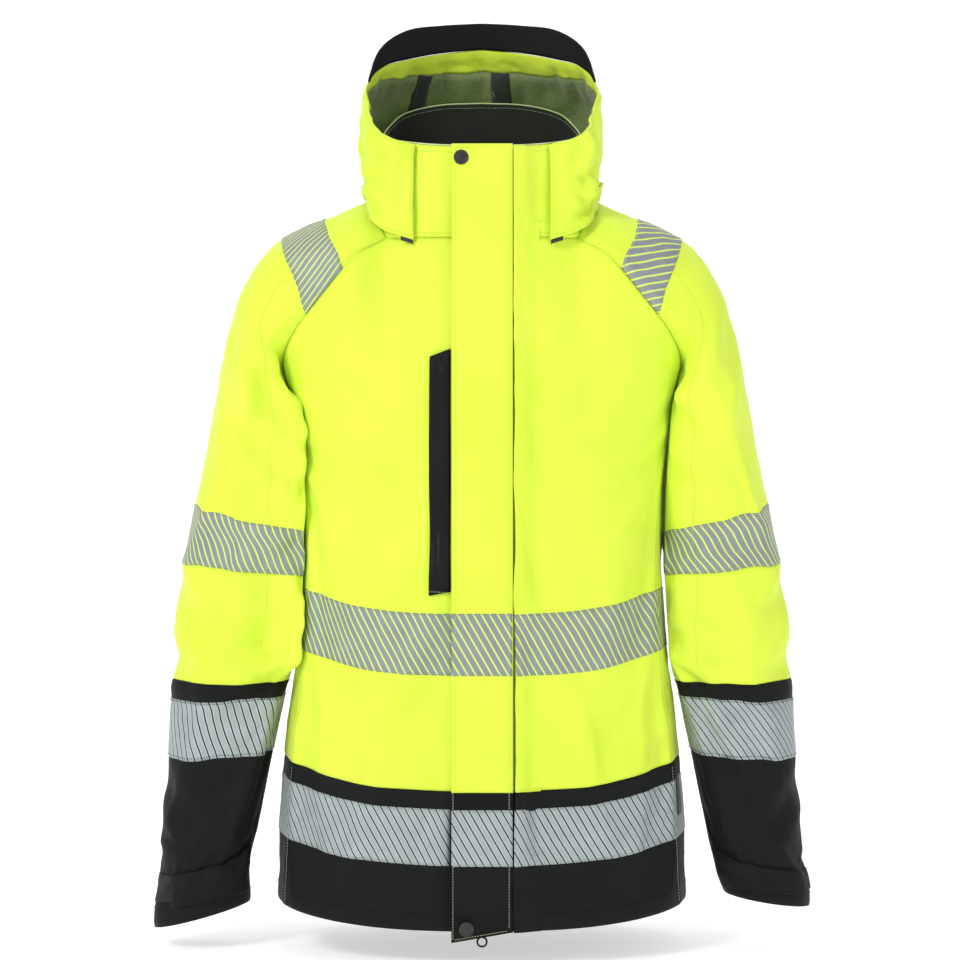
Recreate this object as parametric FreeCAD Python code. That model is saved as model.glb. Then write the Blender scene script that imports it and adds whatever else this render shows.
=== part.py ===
"""Hooded high-visibility shell coat, as cloth panels, zips, snaps, tapes and tabs.

Millimetres, +Z up, the front faces -Y, and the wearer's left is +X.
The shapes are drawn about the middle of the neck opening, level with the neck seam at the back.
They are then moved so that the origin is where a hook carries the hang loop.
Every cloth piece is a thin closed sheet between two offsets of one smooth surface.
"""

import FreeCAD, Part
import math
import os
from bisect import bisect_right

from FreeCAD import Vector

# Driving dimensions.
HOOK = Vector(0, 52, 10.5)   # where a hook carries the hang loop, and the part's origin
CLOTH = 1.2            # thickness of the laminated shell cloth
LINING = 0.8           # thickness of a lining or facing
TAPE = 0.4             # thickness of reflective tape
SEAM = 0.8             # half the gap left between two sewn panels
TAPE_LIFT = 0.35       # air between the cloth and a tape on it
NECK_FRONT = Vector(0, -103, -53)   # centre front of the neck seam
FRONT_LEAN = 0.0366    # how far the front edge moves back for each millimetre up
SIDE_Y = 5             # the side line of the body
ROUNDNESS = 0.77       # power of the body's cross-section; 1 would be an ellipse

# Body levels from the hem up: height at the side, half width, back, drop at centre front and back.
LEVELS = [
    (-731, 214, 122, 16, 12),
    (-584, 206, 118, 24, 10),
    (-500, 196, 110, 24, 6),
    (-400, 189, 106, 24, 4),
    (-300, 190, 112, 20, 2),
    (-225, 199, 116, 12, 0),
]
HEM, COLOUR_BREAK = LEVELS[0][0], LEVELS[1][0]
TOP = -90              # the level that stands for the neck and armhole seams
SIDE_SEAM = [70, 70, 70, 70, 75, 84]   # angle of the side seam at each level, from centre front
BODY_BAND = (-469, -407)
HEM_BAND = (-662, -603)

# Where the armhole seams run, from the neck to the underarm, with the shoulder line between.
FRONT_SEAM = [Vector(97, -84, -50), Vector(128, -98, -70), Vector(163, -90, -110),
              Vector(190, -72, -143), Vector(205, -46, -172)]
SHOULDER = [Vector(106, -12, -2), Vector(150, -8, -13), Vector(192, -4, -27),
            Vector(226, 0, -50), Vector(254, 3, -92)]
BACK_SEAM = [Vector(84, 50, -8), Vector(112, 80, -62), Vector(148, 90, -112),
             Vector(178, 80, -150), Vector(198, 56, -178)]
ARC_START = [0, -8, -15, -28, -52]     # degrees below level at which each shoulder arc starts
UNDERARM = Vector(203, SIDE_Y, -196)

# Sleeve rings below the underarm: inner x and z, outer x and z, half depth, centre y.
RINGS = [
    (203, -196, 274, -150, 88, 5),
    (204, -262, 287, -212, 80, 6),
    (200, -325, 301, -286, 72, 7),
    (199, -352, 308, -316, 68, 8),
    (197, -396, 319, -377, 66, 8),
    (196, -440, 325, -425, 64, 6),
    (197, -480, 329, -467, 62, 2),
    (202, -505, 330, -500, 58, -2),
    (206, -519, 333, -521, 56, -4),
    (218, -578, 336, -582, 52, -8),
    (233, -654, 340, -654, 46, -12),
    (242, -694, 341, -696, 43, -14),
]
CUFF_RING = {"right": (241, -735, 342, -762, 40, -15), "left": (252, -726, 342, -739, 40, -15)}
N_ARCS = len(FRONT_SEAM)
SHOULDER_CUT = N_ARCS                  # station of the shoulder bend
BAND_TOP, BAND_BOTTOM = N_ARCS + 3, N_ARCS + 4
ELBOW_CUT = N_ARCS + 5                 # station of the elbow bend
SLEEVE_BREAK, WRIST_BAND_TOP, WRIST_BAND_BOTTOM = N_ARCS + 7, N_ARCS + 8, N_ARCS + 9
CUFF_TOP, CUFF_END = N_ARCS + 11, N_ARCS + 12
SHOULDER_BAND = (1.35, 2.55)           # stations that the shoulder tape runs between

# Collar and hood, by angle from centre front to centre back.
COLLAR_TOP = [Vector(0, -99.5, 40), Vector(48, -95, 41), Vector(85, -72, 48), Vector(101, -40, 57),
              Vector(103, -12, 64), Vector(99, 25, 77), Vector(84, 52, 94), Vector(46, 70, 106),
              Vector(0, 76, 109)]
HOOD_ANGLE = [38, 55, 70, 90, 112, 135, 158, 180]
HOOD_FOOT = [Vector(69, -101.5, -55), Vector(102, -95, -43), Vector(118, -70, -22),
             Vector(124, -12, -1), Vector(119, 32, -3), Vector(95, 66, -9), Vector(51, 81, -12),
             Vector(0, 84, -12)]
HOOD_LOW = [Vector(69.5, -99.5, -28), Vector(104, -93, -21), Vector(120, -69, -8),
            Vector(124.8, -13.5, 6), Vector(121.5, 33.5, 6), Vector(99, 75, 4), Vector(55, 96, 3),
            Vector(0, 102, 3)]
HOOD_HIGH = [Vector(69, -92.5, 26), Vector(104, -86, 40), Vector(121, -62, 58), Vector(127, -16, 76),
             Vector(124, 40, 92), Vector(101, 88, 98), Vector(56, 114, 98), Vector(0, 121, 98)]
HOOD_RIM = [Vector(68, -90, 43), Vector(98, -81, 53), Vector(114, -62, 72), Vector(121, -22, 112),
            Vector(105, 8, 138), Vector(76, 34, 151), Vector(40, 50, 160), Vector(0, 56, 165)]
BRIM_EDGE = [Vector(121, -22, 114), Vector(108, 6, 156), Vector(80, 28, 180), Vector(42, 42, 188),
             Vector(0, 46, 191)]
HOOD_PIVOT_Y, HOOD_PIVOT_Z = 121, 26   # the hood tilts about this line at its back
HOOD_CUT_SLOPE = 0.077                 # the cut between the hood's neck and crown rises towards the back

# Front closure, measured in the plane of the front edges.
FLAP_LEFT, FLAP_RIGHT = -30.5, 31.0
FLAP_TOP, FLAP_BREAK = 94, -556
FLAP_FOOT_LEFT, FLAP_FOOT_RIGHT = -704.5, -694
FLAP_IN, FLAP_OUT = -6.5, -8.5
ZIP_TOP, ZIP_FOOT = 86, -684
CHAIN_GAP, CHAIN_EDGE, CHAIN_FRONT, CHAIN_BACK = 0.9, 3.6, 0.6, 3.4
SNAPS = [(-21.0, 80.0), (-15.5, -691.0)]
SNAP_RADIUS = 7.5
POCKET_X, POCKET_Z = (31.3, 52.5), (-360, -112)
FRONT_EDGE_X = 9       # the front panels stop here, beside the zip
COLLAR_START = 4.4     # angle at which the collar stops, beside the zip
HOOK_X = (-27, -11)
HOOK_STRIPS = [(-600, -430), (-360, -190), (-130, 50)]
UPPER_SLIDER_FOOT, LOWER_SLIDER_FOOT = 70, -683
POCKET_ZIP_X = -42
TAB_ROOT = 0.05        # share of the way round the cuff where the tab is sewn on
TAB_END = {"right": 0.34, "left": 0.40}
TAB_SPREAD = 0.6       # how far the tab's root reaches up the sleeve, in stations
LOOP_RADIUS, LOOP_WIDTH, LOOP_CENTRE_Z = 20, (48, 56), -8
LINING_ARC = (60, 300) # the hood is lined over these angles
BRIM_ARC = (94, 266)
FACING_FOOT = 1.88     # height at which the lining gives way to the brow facing


def curve(keys, values, x):
    """A smooth curve through the values, which are numbers or vectors, at increasing keys."""
    last = len(keys) - 1
    i = max(0, min(last - 1, bisect_right(keys, x) - 1))

    def slope(j):
        low, high = max(j - 1, 0), min(j + 1, last)
        return (values[high] - values[low]) * (1.0 / (keys[high] - keys[low]))

    h = keys[i + 1] - keys[i]
    s = (x - keys[i]) / h
    return (values[i] * (2 * s**3 - 3 * s**2 + 1) + slope(i) * (h * (s**3 - 2 * s**2 + s))
            + values[i + 1] * (3 * s**2 - 2 * s**3) + slope(i + 1) * (h * (s**3 - s**2)))


def steps(low, high, count):
    """Evenly spaced numbers from low to high."""
    return [low + (high - low) * i / (count - 1) for i in range(count)]


def flip_x(v):
    """The same point on the other side of the coat."""
    return Vector(-v.x, v.y, v.z)


# Surfaces: each returns a point of the coat's outer face.

def ring_point(level, angle):
    """A point of the body at one level, by angle from centre front."""
    z_side, half, back, drop_front, drop_back = level
    sine, cosine = math.sin(math.radians(angle)), math.cos(math.radians(angle))
    z = z_side - (drop_front if cosine > 0 else drop_back) * cosine**2
    front = NECK_FRONT.y + FRONT_LEAN * (z_side - drop_front - NECK_FRONT.z)
    reach = SIDE_Y - front if cosine > 0 else back - SIDE_Y
    x = math.copysign(half * abs(sine) ** ROUNDNESS, sine)
    return Vector(x, SIDE_Y - math.copysign(reach * abs(cosine) ** ROUNDNESS, cosine), z)


FRONT_KEYS = [0, 7, 15, 23, 34, 50, 66, 79, 90]
FRONT_TOP = [NECK_FRONT, Vector(34, -102, -53), Vector(67, -96, -52)] + FRONT_SEAM + [UNDERARM]
BACK_KEYS = [0, 8, 18.5, 27.5, 41.5, 57.5, 75.5, 90]
BACK_TOP = [Vector(0, 62, 0), Vector(43, 59, -2)] + BACK_SEAM + [UNDERARM]
BODY_KEYS = [level[0] for level in LEVELS] + [TOP]


def body_columns(keys, top, is_front):
    """For each key, the body's points up one line from the hem to the neck or armhole seam."""
    columns = []
    for key, end in zip(keys, top):
        column = []
        for level, seam in zip(LEVELS, SIDE_SEAM):
            angle = key / 90 * seam if is_front else 180 - key / 90 * (180 - seam)
            column.append(ring_point(level, angle))
        columns.append(column + [end])
    return columns


FRONT_COLUMNS = body_columns(FRONT_KEYS, FRONT_TOP, True)
BACK_COLUMNS = body_columns(BACK_KEYS, BACK_TOP, False)


def front(key, level):
    """The wearer's left front: key 0 at the zip and 90 at the side seam."""
    return curve(FRONT_KEYS, [curve(BODY_KEYS, c, level) for c in FRONT_COLUMNS], key)


def back(key, level):
    """The back: key 0 at its middle, 90 at the left side seam and -90 at the right."""
    point = curve(BACK_KEYS, [curve(BODY_KEYS, c, level) for c in BACK_COLUMNS], abs(key))
    return point if key >= 0 else flip_x(point)


def front_key_at(x, level):
    """The key at which the front is x from the middle."""
    low, high = 0.0, 90.0
    for _ in range(30):
        middle = (low + high) / 2
        low, high = (middle, high) if front(middle, level).x < x else (low, middle)
    return low


def front_level_at(key, z):
    """The level at which one line of the front has height z."""
    low, high = float(HEM), float(TOP)
    for _ in range(30):
        middle = (low + high) / 2
        low, high = (middle, high) if front(key, middle).z < z else (low, middle)
    return low


def front_at(x, z):
    """The point of the wearer's left front at a given x and height."""
    level = z + 20.0
    for _ in range(4):
        key = front_key_at(x, level)
        level = front_level_at(key, z)
    return front(key, level)


def arcs(side):
    """Every sleeve station as centre, half depth, half height and start angle."""
    found = []
    for f, t, b, start in zip(FRONT_SEAM, SHOULDER, BACK_SEAM, ARC_START):
        up = (t - (f + b) * 0.5) * (1 / (1 - math.sin(math.radians(start))))
        found.append((t - up, (f - b) * (0.5 / math.cos(math.radians(start))), up, start))
    for xi, zi, xo, zo, depth, y in RINGS + [CUFF_RING[side]]:
        inner, outer = Vector(xi, y, zi), Vector(xo, y, zo)
        found.append(((inner + outer) * 0.5, Vector(0, -depth, 0), (outer - inner) * 0.5, -90))
    return found


STATIONS = {side: arcs(side) for side in CUFF_RING}
STATION_KEYS = list(range(N_ARCS + len(RINGS) + 1))


def sleeve(side):
    """The left sleeve as a surface: round from the front seam to the back one, along from the neck."""
    def point(turn, along):
        values = []
        for centre, depth, height, start in STATIONS[side]:
            angle = math.radians(start + turn * (180 - 2 * start))
            values.append(centre + depth * math.cos(angle) + height * math.sin(angle))
        return curve(STATION_KEYS, values, along)
    return point


NECK_ANGLES = [0, 22, 40, 65, 90, 115, 135, 158, 180]
COLLAR_FOOT = ([NECK_FRONT, Vector(50, -99, -52.5), FRONT_SEAM[0]]
               + [sleeve("left")(turn, 0) for turn in (0.25, 0.5, 0.75)]
               + [BACK_SEAM[0], Vector(43, 59, -2), Vector(0, 62, 0)])


def around(keys, values, angle):
    """A closed curve from its left half: angles past 180 are mirrored."""
    point = curve(keys, values, min(angle, 360 - angle))
    return point if angle <= 180 else flip_x(point)


def collar(angle, height):
    """The collar: height 0 at the neck seam and 1 at its top edge."""
    foot, top = around(NECK_ANGLES, COLLAR_FOOT, angle), around(NECK_ANGLES, COLLAR_TOP, angle)
    return foot + (top - foot) * height


def hood_cut(angle):
    """Where the hood bends: a line round it that lies in one plane through the pivot."""
    low, rim = around(HOOD_ANGLE, HOOD_LOW, angle), around(HOOD_ANGLE, HOOD_HIGH, angle)
    share = 0.5
    for _ in range(20):
        point = low + (rim - low) * share
        want = HOOD_PIVOT_Z + HOOD_CUT_SLOPE * (point.y - HOOD_PIVOT_Y)
        share += (want - point.z) / max(rim.z - low.z, 1)
    return point


def hood(angle, height):
    """The hood: 0 at its foot, 1 at the bend and 2 at the rim."""
    rows = [around(HOOD_ANGLE, line, angle) for line in (HOOD_FOOT, HOOD_LOW, HOOD_HIGH, HOOD_RIM)]
    rows.insert(2, hood_cut(angle))
    return curve([0, 0.55, 1, 1.55, 2], rows, height)


def brim(angle, height):
    """The stiff peak: 0 at the hood's rim and 1 at its free edge."""
    foot, edge = hood(angle, 2), around(HOOD_ANGLE[3:], BRIM_EDGE, angle)
    return foot + (edge - foot) * height


# Solids.

def spline_through(points):
    """A smooth curve that passes one point for each whole step of its parameter."""
    spline = Part.BSplineCurve()
    spline.interpolate(Points=list(points), Parameters=[float(i) for i in range(len(points))])
    return spline


def spline_surface(grid):
    """A smooth surface through a grid of points."""
    rows = [spline_through(row) for row in grid]
    columns = [spline_through(column) for column in zip(*[row.getPoles() for row in rows])]
    poles = [list(row) for row in zip(*[column.getPoles() for column in columns])]
    surface = Part.BSplineSurface()
    surface.buildFromPolesMultsKnots(poles, columns[0].getMultiplicities(), rows[0].getMultiplicities(),
                                     columns[0].getKnots(), rows[0].getKnots(), False, False, 3, 3)
    return surface


def closed_sheet(outer, inner):
    """A solid between two grids of points, with ruled edges."""
    a, b = spline_surface(outer), spline_surface(inner)
    faces = [a.toShape(), b.toShape()]
    u0, u1, v0, v1 = a.bounds()
    p0, p1, q0, q1 = b.bounds()
    pairs = [(a.uIso(u0), b.uIso(p0)), (a.uIso(u1), b.uIso(p1)),
             (a.vIso(v0), b.vIso(q0)), (a.vIso(v1), b.vIso(q1))]
    faces += [Part.makeRuledSurface(c.toShape(), d.toShape()) for c, d in pairs]
    shell = Part.makeShell(faces)
    shell.sewShape()
    solid = Part.makeSolid(shell)
    if solid.Volume < 0:
        solid.reverse()
    return solid


def derivatives(surface, u, v):
    """The surface's two tangents."""
    e = 1e-3
    along_u = (surface(u + e, v) - surface(u - e, v)) * (0.5 / e)
    along_v = (surface(u, v + e) - surface(u, v - e)) * (0.5 / e)
    return along_u, along_v


def strip(surface, u, v, counts, offsets, outward=1, mirror=False, trim=SEAM):
    """A cloth piece: part of a surface between two offsets along its outward normal.

    Each edge stops short of its limit by the trim.
    """
    grids = ([], [])
    for i, u_at in enumerate(steps(*u, counts[0])):
        rows = ([], [])
        for j, v_at in enumerate(steps(*v, counts[1])):
            along_u, along_v = derivatives(surface, u_at, v_at)
            shift_u = (i == 0) - (i == counts[0] - 1)
            shift_v = (j == 0) - (j == counts[1] - 1)
            u_in = u_at + shift_u * trim / along_u.Length
            v_in = v_at + shift_v * trim / along_v.Length
            along_u, along_v = derivatives(surface, u_in, v_in)
            normal = along_u.cross(along_v).normalize() * outward
            for row, offset in zip(rows, reversed(offsets)):
                point = surface(u_in, v_in) + normal * offset
                row.append(flip_x(point) if mirror else point)
        for grid, row in zip(grids, rows):
            grid.append(row)
    return closed_sheet(*grids)


def on_front_plane(shape):
    """Moves a shape made in the front plane's own axes to its place on the coat."""
    tilt = math.degrees(math.atan(FRONT_LEAN))
    shape.rotate(Vector(0, 0, 0), Vector(1, 0, 0), -tilt)
    shape.translate(NECK_FRONT)
    return shape


def block(x, y, z):
    """A box from three pairs of limits."""
    return Part.makeBox(x[1] - x[0], y[1] - y[0], z[1] - z[0], Vector(x[0], y[0], z[0]))


def disc(x, z, radius, y):
    """A round plate that faces forwards."""
    return Part.makeCylinder(radius, y[1] - y[0], Vector(x, y[0], z), Vector(0, 1, 0))


def plate(corners, y):
    """A flat plate that faces forwards, from its corners in x and z."""
    points = [Vector(x, y[0], z) for x, z in corners]
    return Part.Face(Part.makePolygon(points + points[:1])).extrude(Vector(0, y[1] - y[0], 0))


def save(name, *shapes):
    """Writes one node about the hook, and says if a solid of it is not sound."""
    shape = shapes[0] if len(shapes) == 1 else Part.makeCompound(list(shapes))
    shape.translate(-HOOK)
    for solid in shape.Solids:
        if not solid.isValid() or solid.Volume <= 0:
            print("NOT SOUND", name, solid.Volume)
    shape.exportStep(os.path.join("parts", name + ".step"))


def save_front(name, *shapes):
    """Writes a node whose shapes are made in the front plane's own axes."""
    save(name, *[on_front_plane(shape) for shape in shapes])


# The body.

SHELL = (-CLOTH, 0)
ON_CLOTH = (TAPE_LIFT, TAPE_LIFT + TAPE)
SIDES = ("left", "right")


def make_front(side):
    """One front: its panel and hem, from the zip to the side seam."""
    mirror = side == "right"
    start = front_key_at(FRONT_EDGE_X, -400)
    panel = strip(front, (start, 90), (COLOUR_BREAK, TOP), (19, 15), SHELL, 1, mirror)
    if mirror:
        panel = panel.cut(on_front_plane(pocket_slot()))
    save(side + "_front_panel", panel)
    save(side + "_front_hem", strip(front, (start, 90), (HEM, COLOUR_BREAK), (19, 5), SHELL, 1, mirror))


def make_back():
    """The back panel, its hem, and the small tag on its left side seam."""
    save("back_panel", strip(back, (-90, 90), (COLOUR_BREAK, TOP), (33, 15), SHELL, -1))
    save("back_hem", strip(back, (-90, 90), (HEM, COLOUR_BREAK), (33, 5), SHELL, -1))
    save("side_label", strip(back, (84, 89), (-640, -603), (4, 5), (1.2, 1.9), -1))


def make_body_tapes():
    """The two bands round the body, each in three lengths and a short one over the flap's seam."""
    start = front_key_at(FRONT_EDGE_X + 20, -400)
    for name, level in (("body_band", BODY_BAND), ("hem_band", HEM_BAND)):
        fronts = [strip(front, (start, 90), level, (15, 4), ON_CLOTH, 1, side == "right") for side in SIDES]
        over_seam = on_front_plane(seam_tape(band_heights(level)))
        save(name, strip(back, (-90, 90), level, (29, 4), ON_CLOTH, -1), over_seam, *fronts)


# The sleeves.

ROUND = (0, 1)


def make_sleeve(side):
    """One sleeve from the neck to the cuff, in the pieces it is sewn from."""
    surface, mirror = sleeve(side), side == "right"
    pieces = {
        "shoulder_cap": (0, SHOULDER_CUT, 16),
        "upper_sleeve": (SHOULDER_CUT, ELBOW_CUT, 13),
        "elbow_piece": (ELBOW_CUT, SLEEVE_BREAK, 6),
        "lower_sleeve": (SLEEVE_BREAK, CUFF_TOP, 10),
        "cuff_hem": (CUFF_TOP, CUFF_END, 4),
    }
    for name, (low, high, count) in pieces.items():
        save(f"{side}_{name}", strip(surface, ROUND, (low, high), (25, count), SHELL, -1, mirror))
    tapes = {
        "upper_sleeve_band": (BAND_TOP, BAND_BOTTOM),
        "wrist_band": (WRIST_BAND_TOP, WRIST_BAND_BOTTOM),
    }
    for name, (low, high) in tapes.items():
        save(f"{side}_{name}", strip(surface, ROUND, (low, high), (25, 5), ON_CLOTH, -1, mirror))


def make_shoulder_tapes():
    """The two bands over the shoulders."""
    tapes = [strip(sleeve(side), ROUND, SHOULDER_BAND, (25, 5), ON_CLOTH, -1, side == "right")
             for side in SIDES]
    save("shoulder_tapes", *tapes)


def make_cuff_tab(side):
    """The strap round the front of one cuff, its hook patch, and the loop patch it closes on."""
    surface, mirror = sleeve(side), side == "right"
    tab_end = TAB_END[side]

    def tapered(turn, share):
        """The strap's surface, wide where it is sewn on and narrow at its free end."""
        along = (turn - TAB_ROOT) / (tab_end - TAB_ROOT)
        upper = CUFF_TOP + 0.1 - TAB_SPREAD * max(1 - along, 0) ** 1.6
        return surface(turn, upper + (CUFF_TOP + 0.7 - upper) * share)

    save(f"{side}_cuff_tab", strip(tapered, (TAB_ROOT, tab_end), (0, 1), (13, 5), (1.9, 3.1), -1, mirror))
    patches = {
        "hook_patch": ((tab_end - 0.12, tab_end - 0.02), (1.2, 1.7)),
        "loop_patch": ((tab_end - 0.11, tab_end + 0.13), (0.3, 1.0)),
    }
    for name, (turn, offsets) in patches.items():
        level = (CUFF_TOP + 0.14, CUFF_TOP + 0.6)
        save(f"{side}_{name}", strip(surface, turn, level, (9, 5), offsets, -1, mirror))


# The collar and hood.

def make_collar():
    """The collar's outside, its lining, the binding on its top edge, and the hang loop."""
    ring = (COLLAR_START, 360 - COLLAR_START)
    inside = -CLOTH - 0.5
    save("collar_outer", strip(collar, ring, (0.006, 1), (37, 6), SHELL))
    save("collar_lining", strip(collar, ring, (0.03, 1), (37, 6), (inside - LINING, inside)))
    save("collar_binding", strip(collar, ring, (1, 1.05), (37, 4), (inside - LINING, 0.3), 1, False, 0.3))
    loop = rod(LOOP_RADIUS, LOOP_WIDTH).cut(rod(LOOP_RADIUS - 1.5, LOOP_WIDTH))
    lower_half = block((-40, 40), (0, 90), (LOOP_CENTRE_Z - 40, LOOP_CENTRE_Z))
    save("hang_loop", loop.cut(lower_half))


def rod(radius, y):
    """A rod through the hang loop's centre, from front to back."""
    return Part.makeCylinder(radius, y[1] - y[0], Vector(0, y[0], LOOP_CENTRE_Z), Vector(0, 1, 0))


def make_hood():
    """The hood with its lining, brow facing, peak, seam tapes and the ends of its zip."""
    ring = (HOOD_ANGLE[0], 360 - HOOD_ANGLE[0])
    inside = -CLOTH - 0.6
    save("hood_neck", strip(hood, ring, (0, 1), (33, 7), SHELL))
    save("hood_crown", strip(hood, ring, (1, 2), (41, 11), SHELL))
    save("hood_lining", strip(hood, LINING_ARC, (1.05, FACING_FOOT), (37, 8), (inside - LINING, inside)))
    save("brow_facing", strip(hood, LINING_ARC, (FACING_FOOT, 1.99), (37, 5), (inside - LINING, inside)))
    save("brim", strip(brim, BRIM_ARC, (0, 1), (31, 6), (-2.2, 0)))
    tape = (inside - LINING - 1.0, inside - LINING - 0.5)
    save("hood_seam_tapes", *[strip(hood, (low, low + 9), (1.1, FACING_FOOT - 0.02), (4, 7), tape)
                              for low in (166, 207)])
    ends = [strip(hood, (38.5, 44.5), (-0.09, 0.02), (4, 4), (-3.6, -2.2), 1, side == "right")
            for side in SIDES]
    save("hood_zip_ends", *ends)


# The front closure, in the front plane's own axes: y is depth behind the front edges.

def band_heights(level):
    """Heights of a reflective band where it crosses the front closure."""
    return [front(4, at).z - NECK_FRONT.z for at in level]


def seam_tape(heights):
    """The length of a band that runs from the flap's seam down to the front panel."""
    line = [Vector(33, -7.6, 0), Vector(40, -2.4, 0), Vector(47, -0.9, 0)]
    sides = []
    for lift in ON_CLOTH:
        lifted = []
        for a, b in zip(line, line[1:]):
            normal = Vector(b.y - a.y, a.x - b.x, 0).normalize()
            lifted += [a + normal * lift, b + normal * lift]
        lifted[1:3] = [(lifted[1] + lifted[2]) * 0.5]
        sides.append(lifted)
    section = [point + Vector(0, 0, heights[0]) for point in sides[0] + sides[1][::-1]]
    return Part.Face(Part.makePolygon(section + section[:1])).extrude(Vector(0, 0, heights[1] - heights[0]))


def make_flap():
    """The storm flap, its bands, its sewn root, and the hook strips and snaps that close it."""
    y = (FLAP_OUT, FLAP_IN)
    band_y = (FLAP_OUT - TAPE_LIFT - TAPE, FLAP_OUT - TAPE_LIFT)
    bands = [block((FLAP_LEFT, FLAP_RIGHT - 1), band_y, band_heights(level))
             for level in (BODY_BAND, HEM_BAND)]
    save_front("flap_bands", *bands)
    save_front("flap_upper", block((FLAP_LEFT, FLAP_RIGHT), y, (FLAP_BREAK + SEAM, FLAP_TOP)))
    lower = [(FLAP_LEFT, FLAP_BREAK - SEAM), (FLAP_LEFT, FLAP_FOOT_LEFT), (FLAP_RIGHT, FLAP_FOOT_RIGHT),
             (FLAP_RIGHT, FLAP_BREAK - SEAM)]
    save_front("flap_lower", plate(lower, y))
    foot = FLAP_FOOT_RIGHT
    section = [(FLAP_RIGHT + 0.8, FLAP_OUT), (FLAP_RIGHT + 0.8, FLAP_IN), (FLAP_RIGHT + 8, -0.9),
               (FLAP_RIGHT + 16, -0.9), (FLAP_RIGHT + 9, -2.4)]
    points = [Vector(x, depth, foot) for x, depth in section]
    seam = Part.Face(Part.makePolygon(points + points[:1])).extrude(Vector(0, 0, FLAP_TOP - 2 - foot))
    save_front("flap_seam", seam)
    strips = {"flap_hook_strips": (FLAP_IN + 0.1, FLAP_IN + 1.7), "front_loop_strips": (-2.4, -0.4)}
    for name, depths in strips.items():
        save_front(name, *[block(HOOK_X, depths, z) for z in HOOK_STRIPS])
    caps = [disc(x, z, SNAP_RADIUS, (FLAP_OUT - 1.8, FLAP_OUT - 0.1)) for x, z in SNAPS]
    sockets = [disc(x, z, 6.2, (FLAP_IN + 0.1, FLAP_IN + 1.6)) for x, z in SNAPS]
    save_front("flap_snaps", *caps, *sockets)
    studs = [disc(x, z, 6, (-3.0, -0.5)).fuse(disc(x, z, 3.2, (-4.4, -3.0))) for x, z in SNAPS]
    save_front("front_snap_studs", *studs)


def comb(foot, top, reach, pitch, y):
    """Half of a zip's chain for the wearer's left: a spine with teeth towards the middle."""
    near, far = reach
    corners = [(far, foot)]
    z = foot
    while z + pitch <= top:
        middle, end = z + pitch * 0.5, z + pitch
        corners += [(near, z), (near, middle), (far - 0.6, middle), (far - 0.6, end)]
        z += pitch
    return plate(corners + [(far, z)], y)


def both_sides(shape, x):
    """A shape made for the left of a zip, for each side of a zip at x."""
    pair = [shape, shape.mirror(Vector(0, 0, 0), Vector(1, 0, 0))]
    for half in pair:
        half.translate(Vector(x, 0, 0))
    return pair


def slider(foot, height, half, front_y, back_y, chain):
    """A zip slider: a front and a back plate, and the web between the two rows of teeth."""
    face = block((-half, half), (front_y, chain[0]), (foot, foot + height))
    rear = block((-half, half), (chain[1], back_y), (foot, foot + height))
    web = block((-0.6, 0.6), (chain[0] - 0.1, chain[1] + 0.1), (foot + 1, foot + height - 1))
    return face.fuse([rear, web])


def staple(foot):
    """The loop on a slider's face that the pull hangs from."""
    outer = block((-1.5, 1.5), (-4.8, -1.7), (foot + 3, foot + 11))
    return outer.cut(block((-2, 2), (-3.8, -1.8), (foot + 4.5, foot + 9.5)))


def pull_frame(foot, length):
    """The bar and two sides of a pull, hung on the staple of a slider with the given foot."""
    body = block((-4, 4), (-3.3, -2.3), (foot + 8.2 - length, foot + 8.2))
    return body.cut(block((-2.3, 2.3), (-4, -2), (foot - 1, foot + 6.4)))


def make_zip():
    """The two-way front zip: tapes, chain with its box and stops, sliders and pulls."""
    chain = (CHAIN_FRONT, CHAIN_BACK)
    tape = block((CHAIN_EDGE + 0.1, 12), (3.4, 4.0), (ZIP_FOOT, ZIP_TOP))
    teeth = comb(ZIP_FOOT, ZIP_TOP, (CHAIN_GAP, CHAIN_EDGE), 5, chain)
    stop = block((CHAIN_GAP, CHAIN_EDGE), chain, (ZIP_TOP + 0.3, ZIP_TOP + 4))
    box = block((-5, 5), (0.2, 3.8), (ZIP_FOOT - 9, ZIP_FOOT - 0.5))
    save_front("zip_tapes", *both_sides(tape, 0))
    save_front("zip_teeth", box, *both_sides(stop, 0), *both_sides(teeth, 0))
    for name, foot in (("upper", UPPER_SLIDER_FOOT), ("lower", LOWER_SLIDER_FOOT)):
        body = slider(foot, 14, 5.5, -1.8, 5.6, (0.2, 4.4))
        save_front(f"{name}_slider", body.fuse(staple(foot)))
    grip = pull_frame(UPPER_SLIDER_FOOT, 34)
    save_front("upper_pull", grip.cut(disc(0, UPPER_SLIDER_FOOT - 21, 2, (-4, -2))))
    ring = Part.makeTorus(4.7, 1.0, Vector(0, -2.8, LOWER_SLIDER_FOOT - 21), Vector(0, 1, 0))
    save_front("ring_pull", pull_frame(LOWER_SLIDER_FOOT, 25).fuse(ring))


# The chest pocket on the wearer's right, also in the front plane's own axes.

def pocket_slot():
    """The block that is cut out of the front panel for the pocket's zip."""
    return block((POCKET_ZIP_X - 4, POCKET_ZIP_X + 4), (-5, 9), (POCKET_Z[0] + 10, POCKET_Z[1] - 10))


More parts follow.
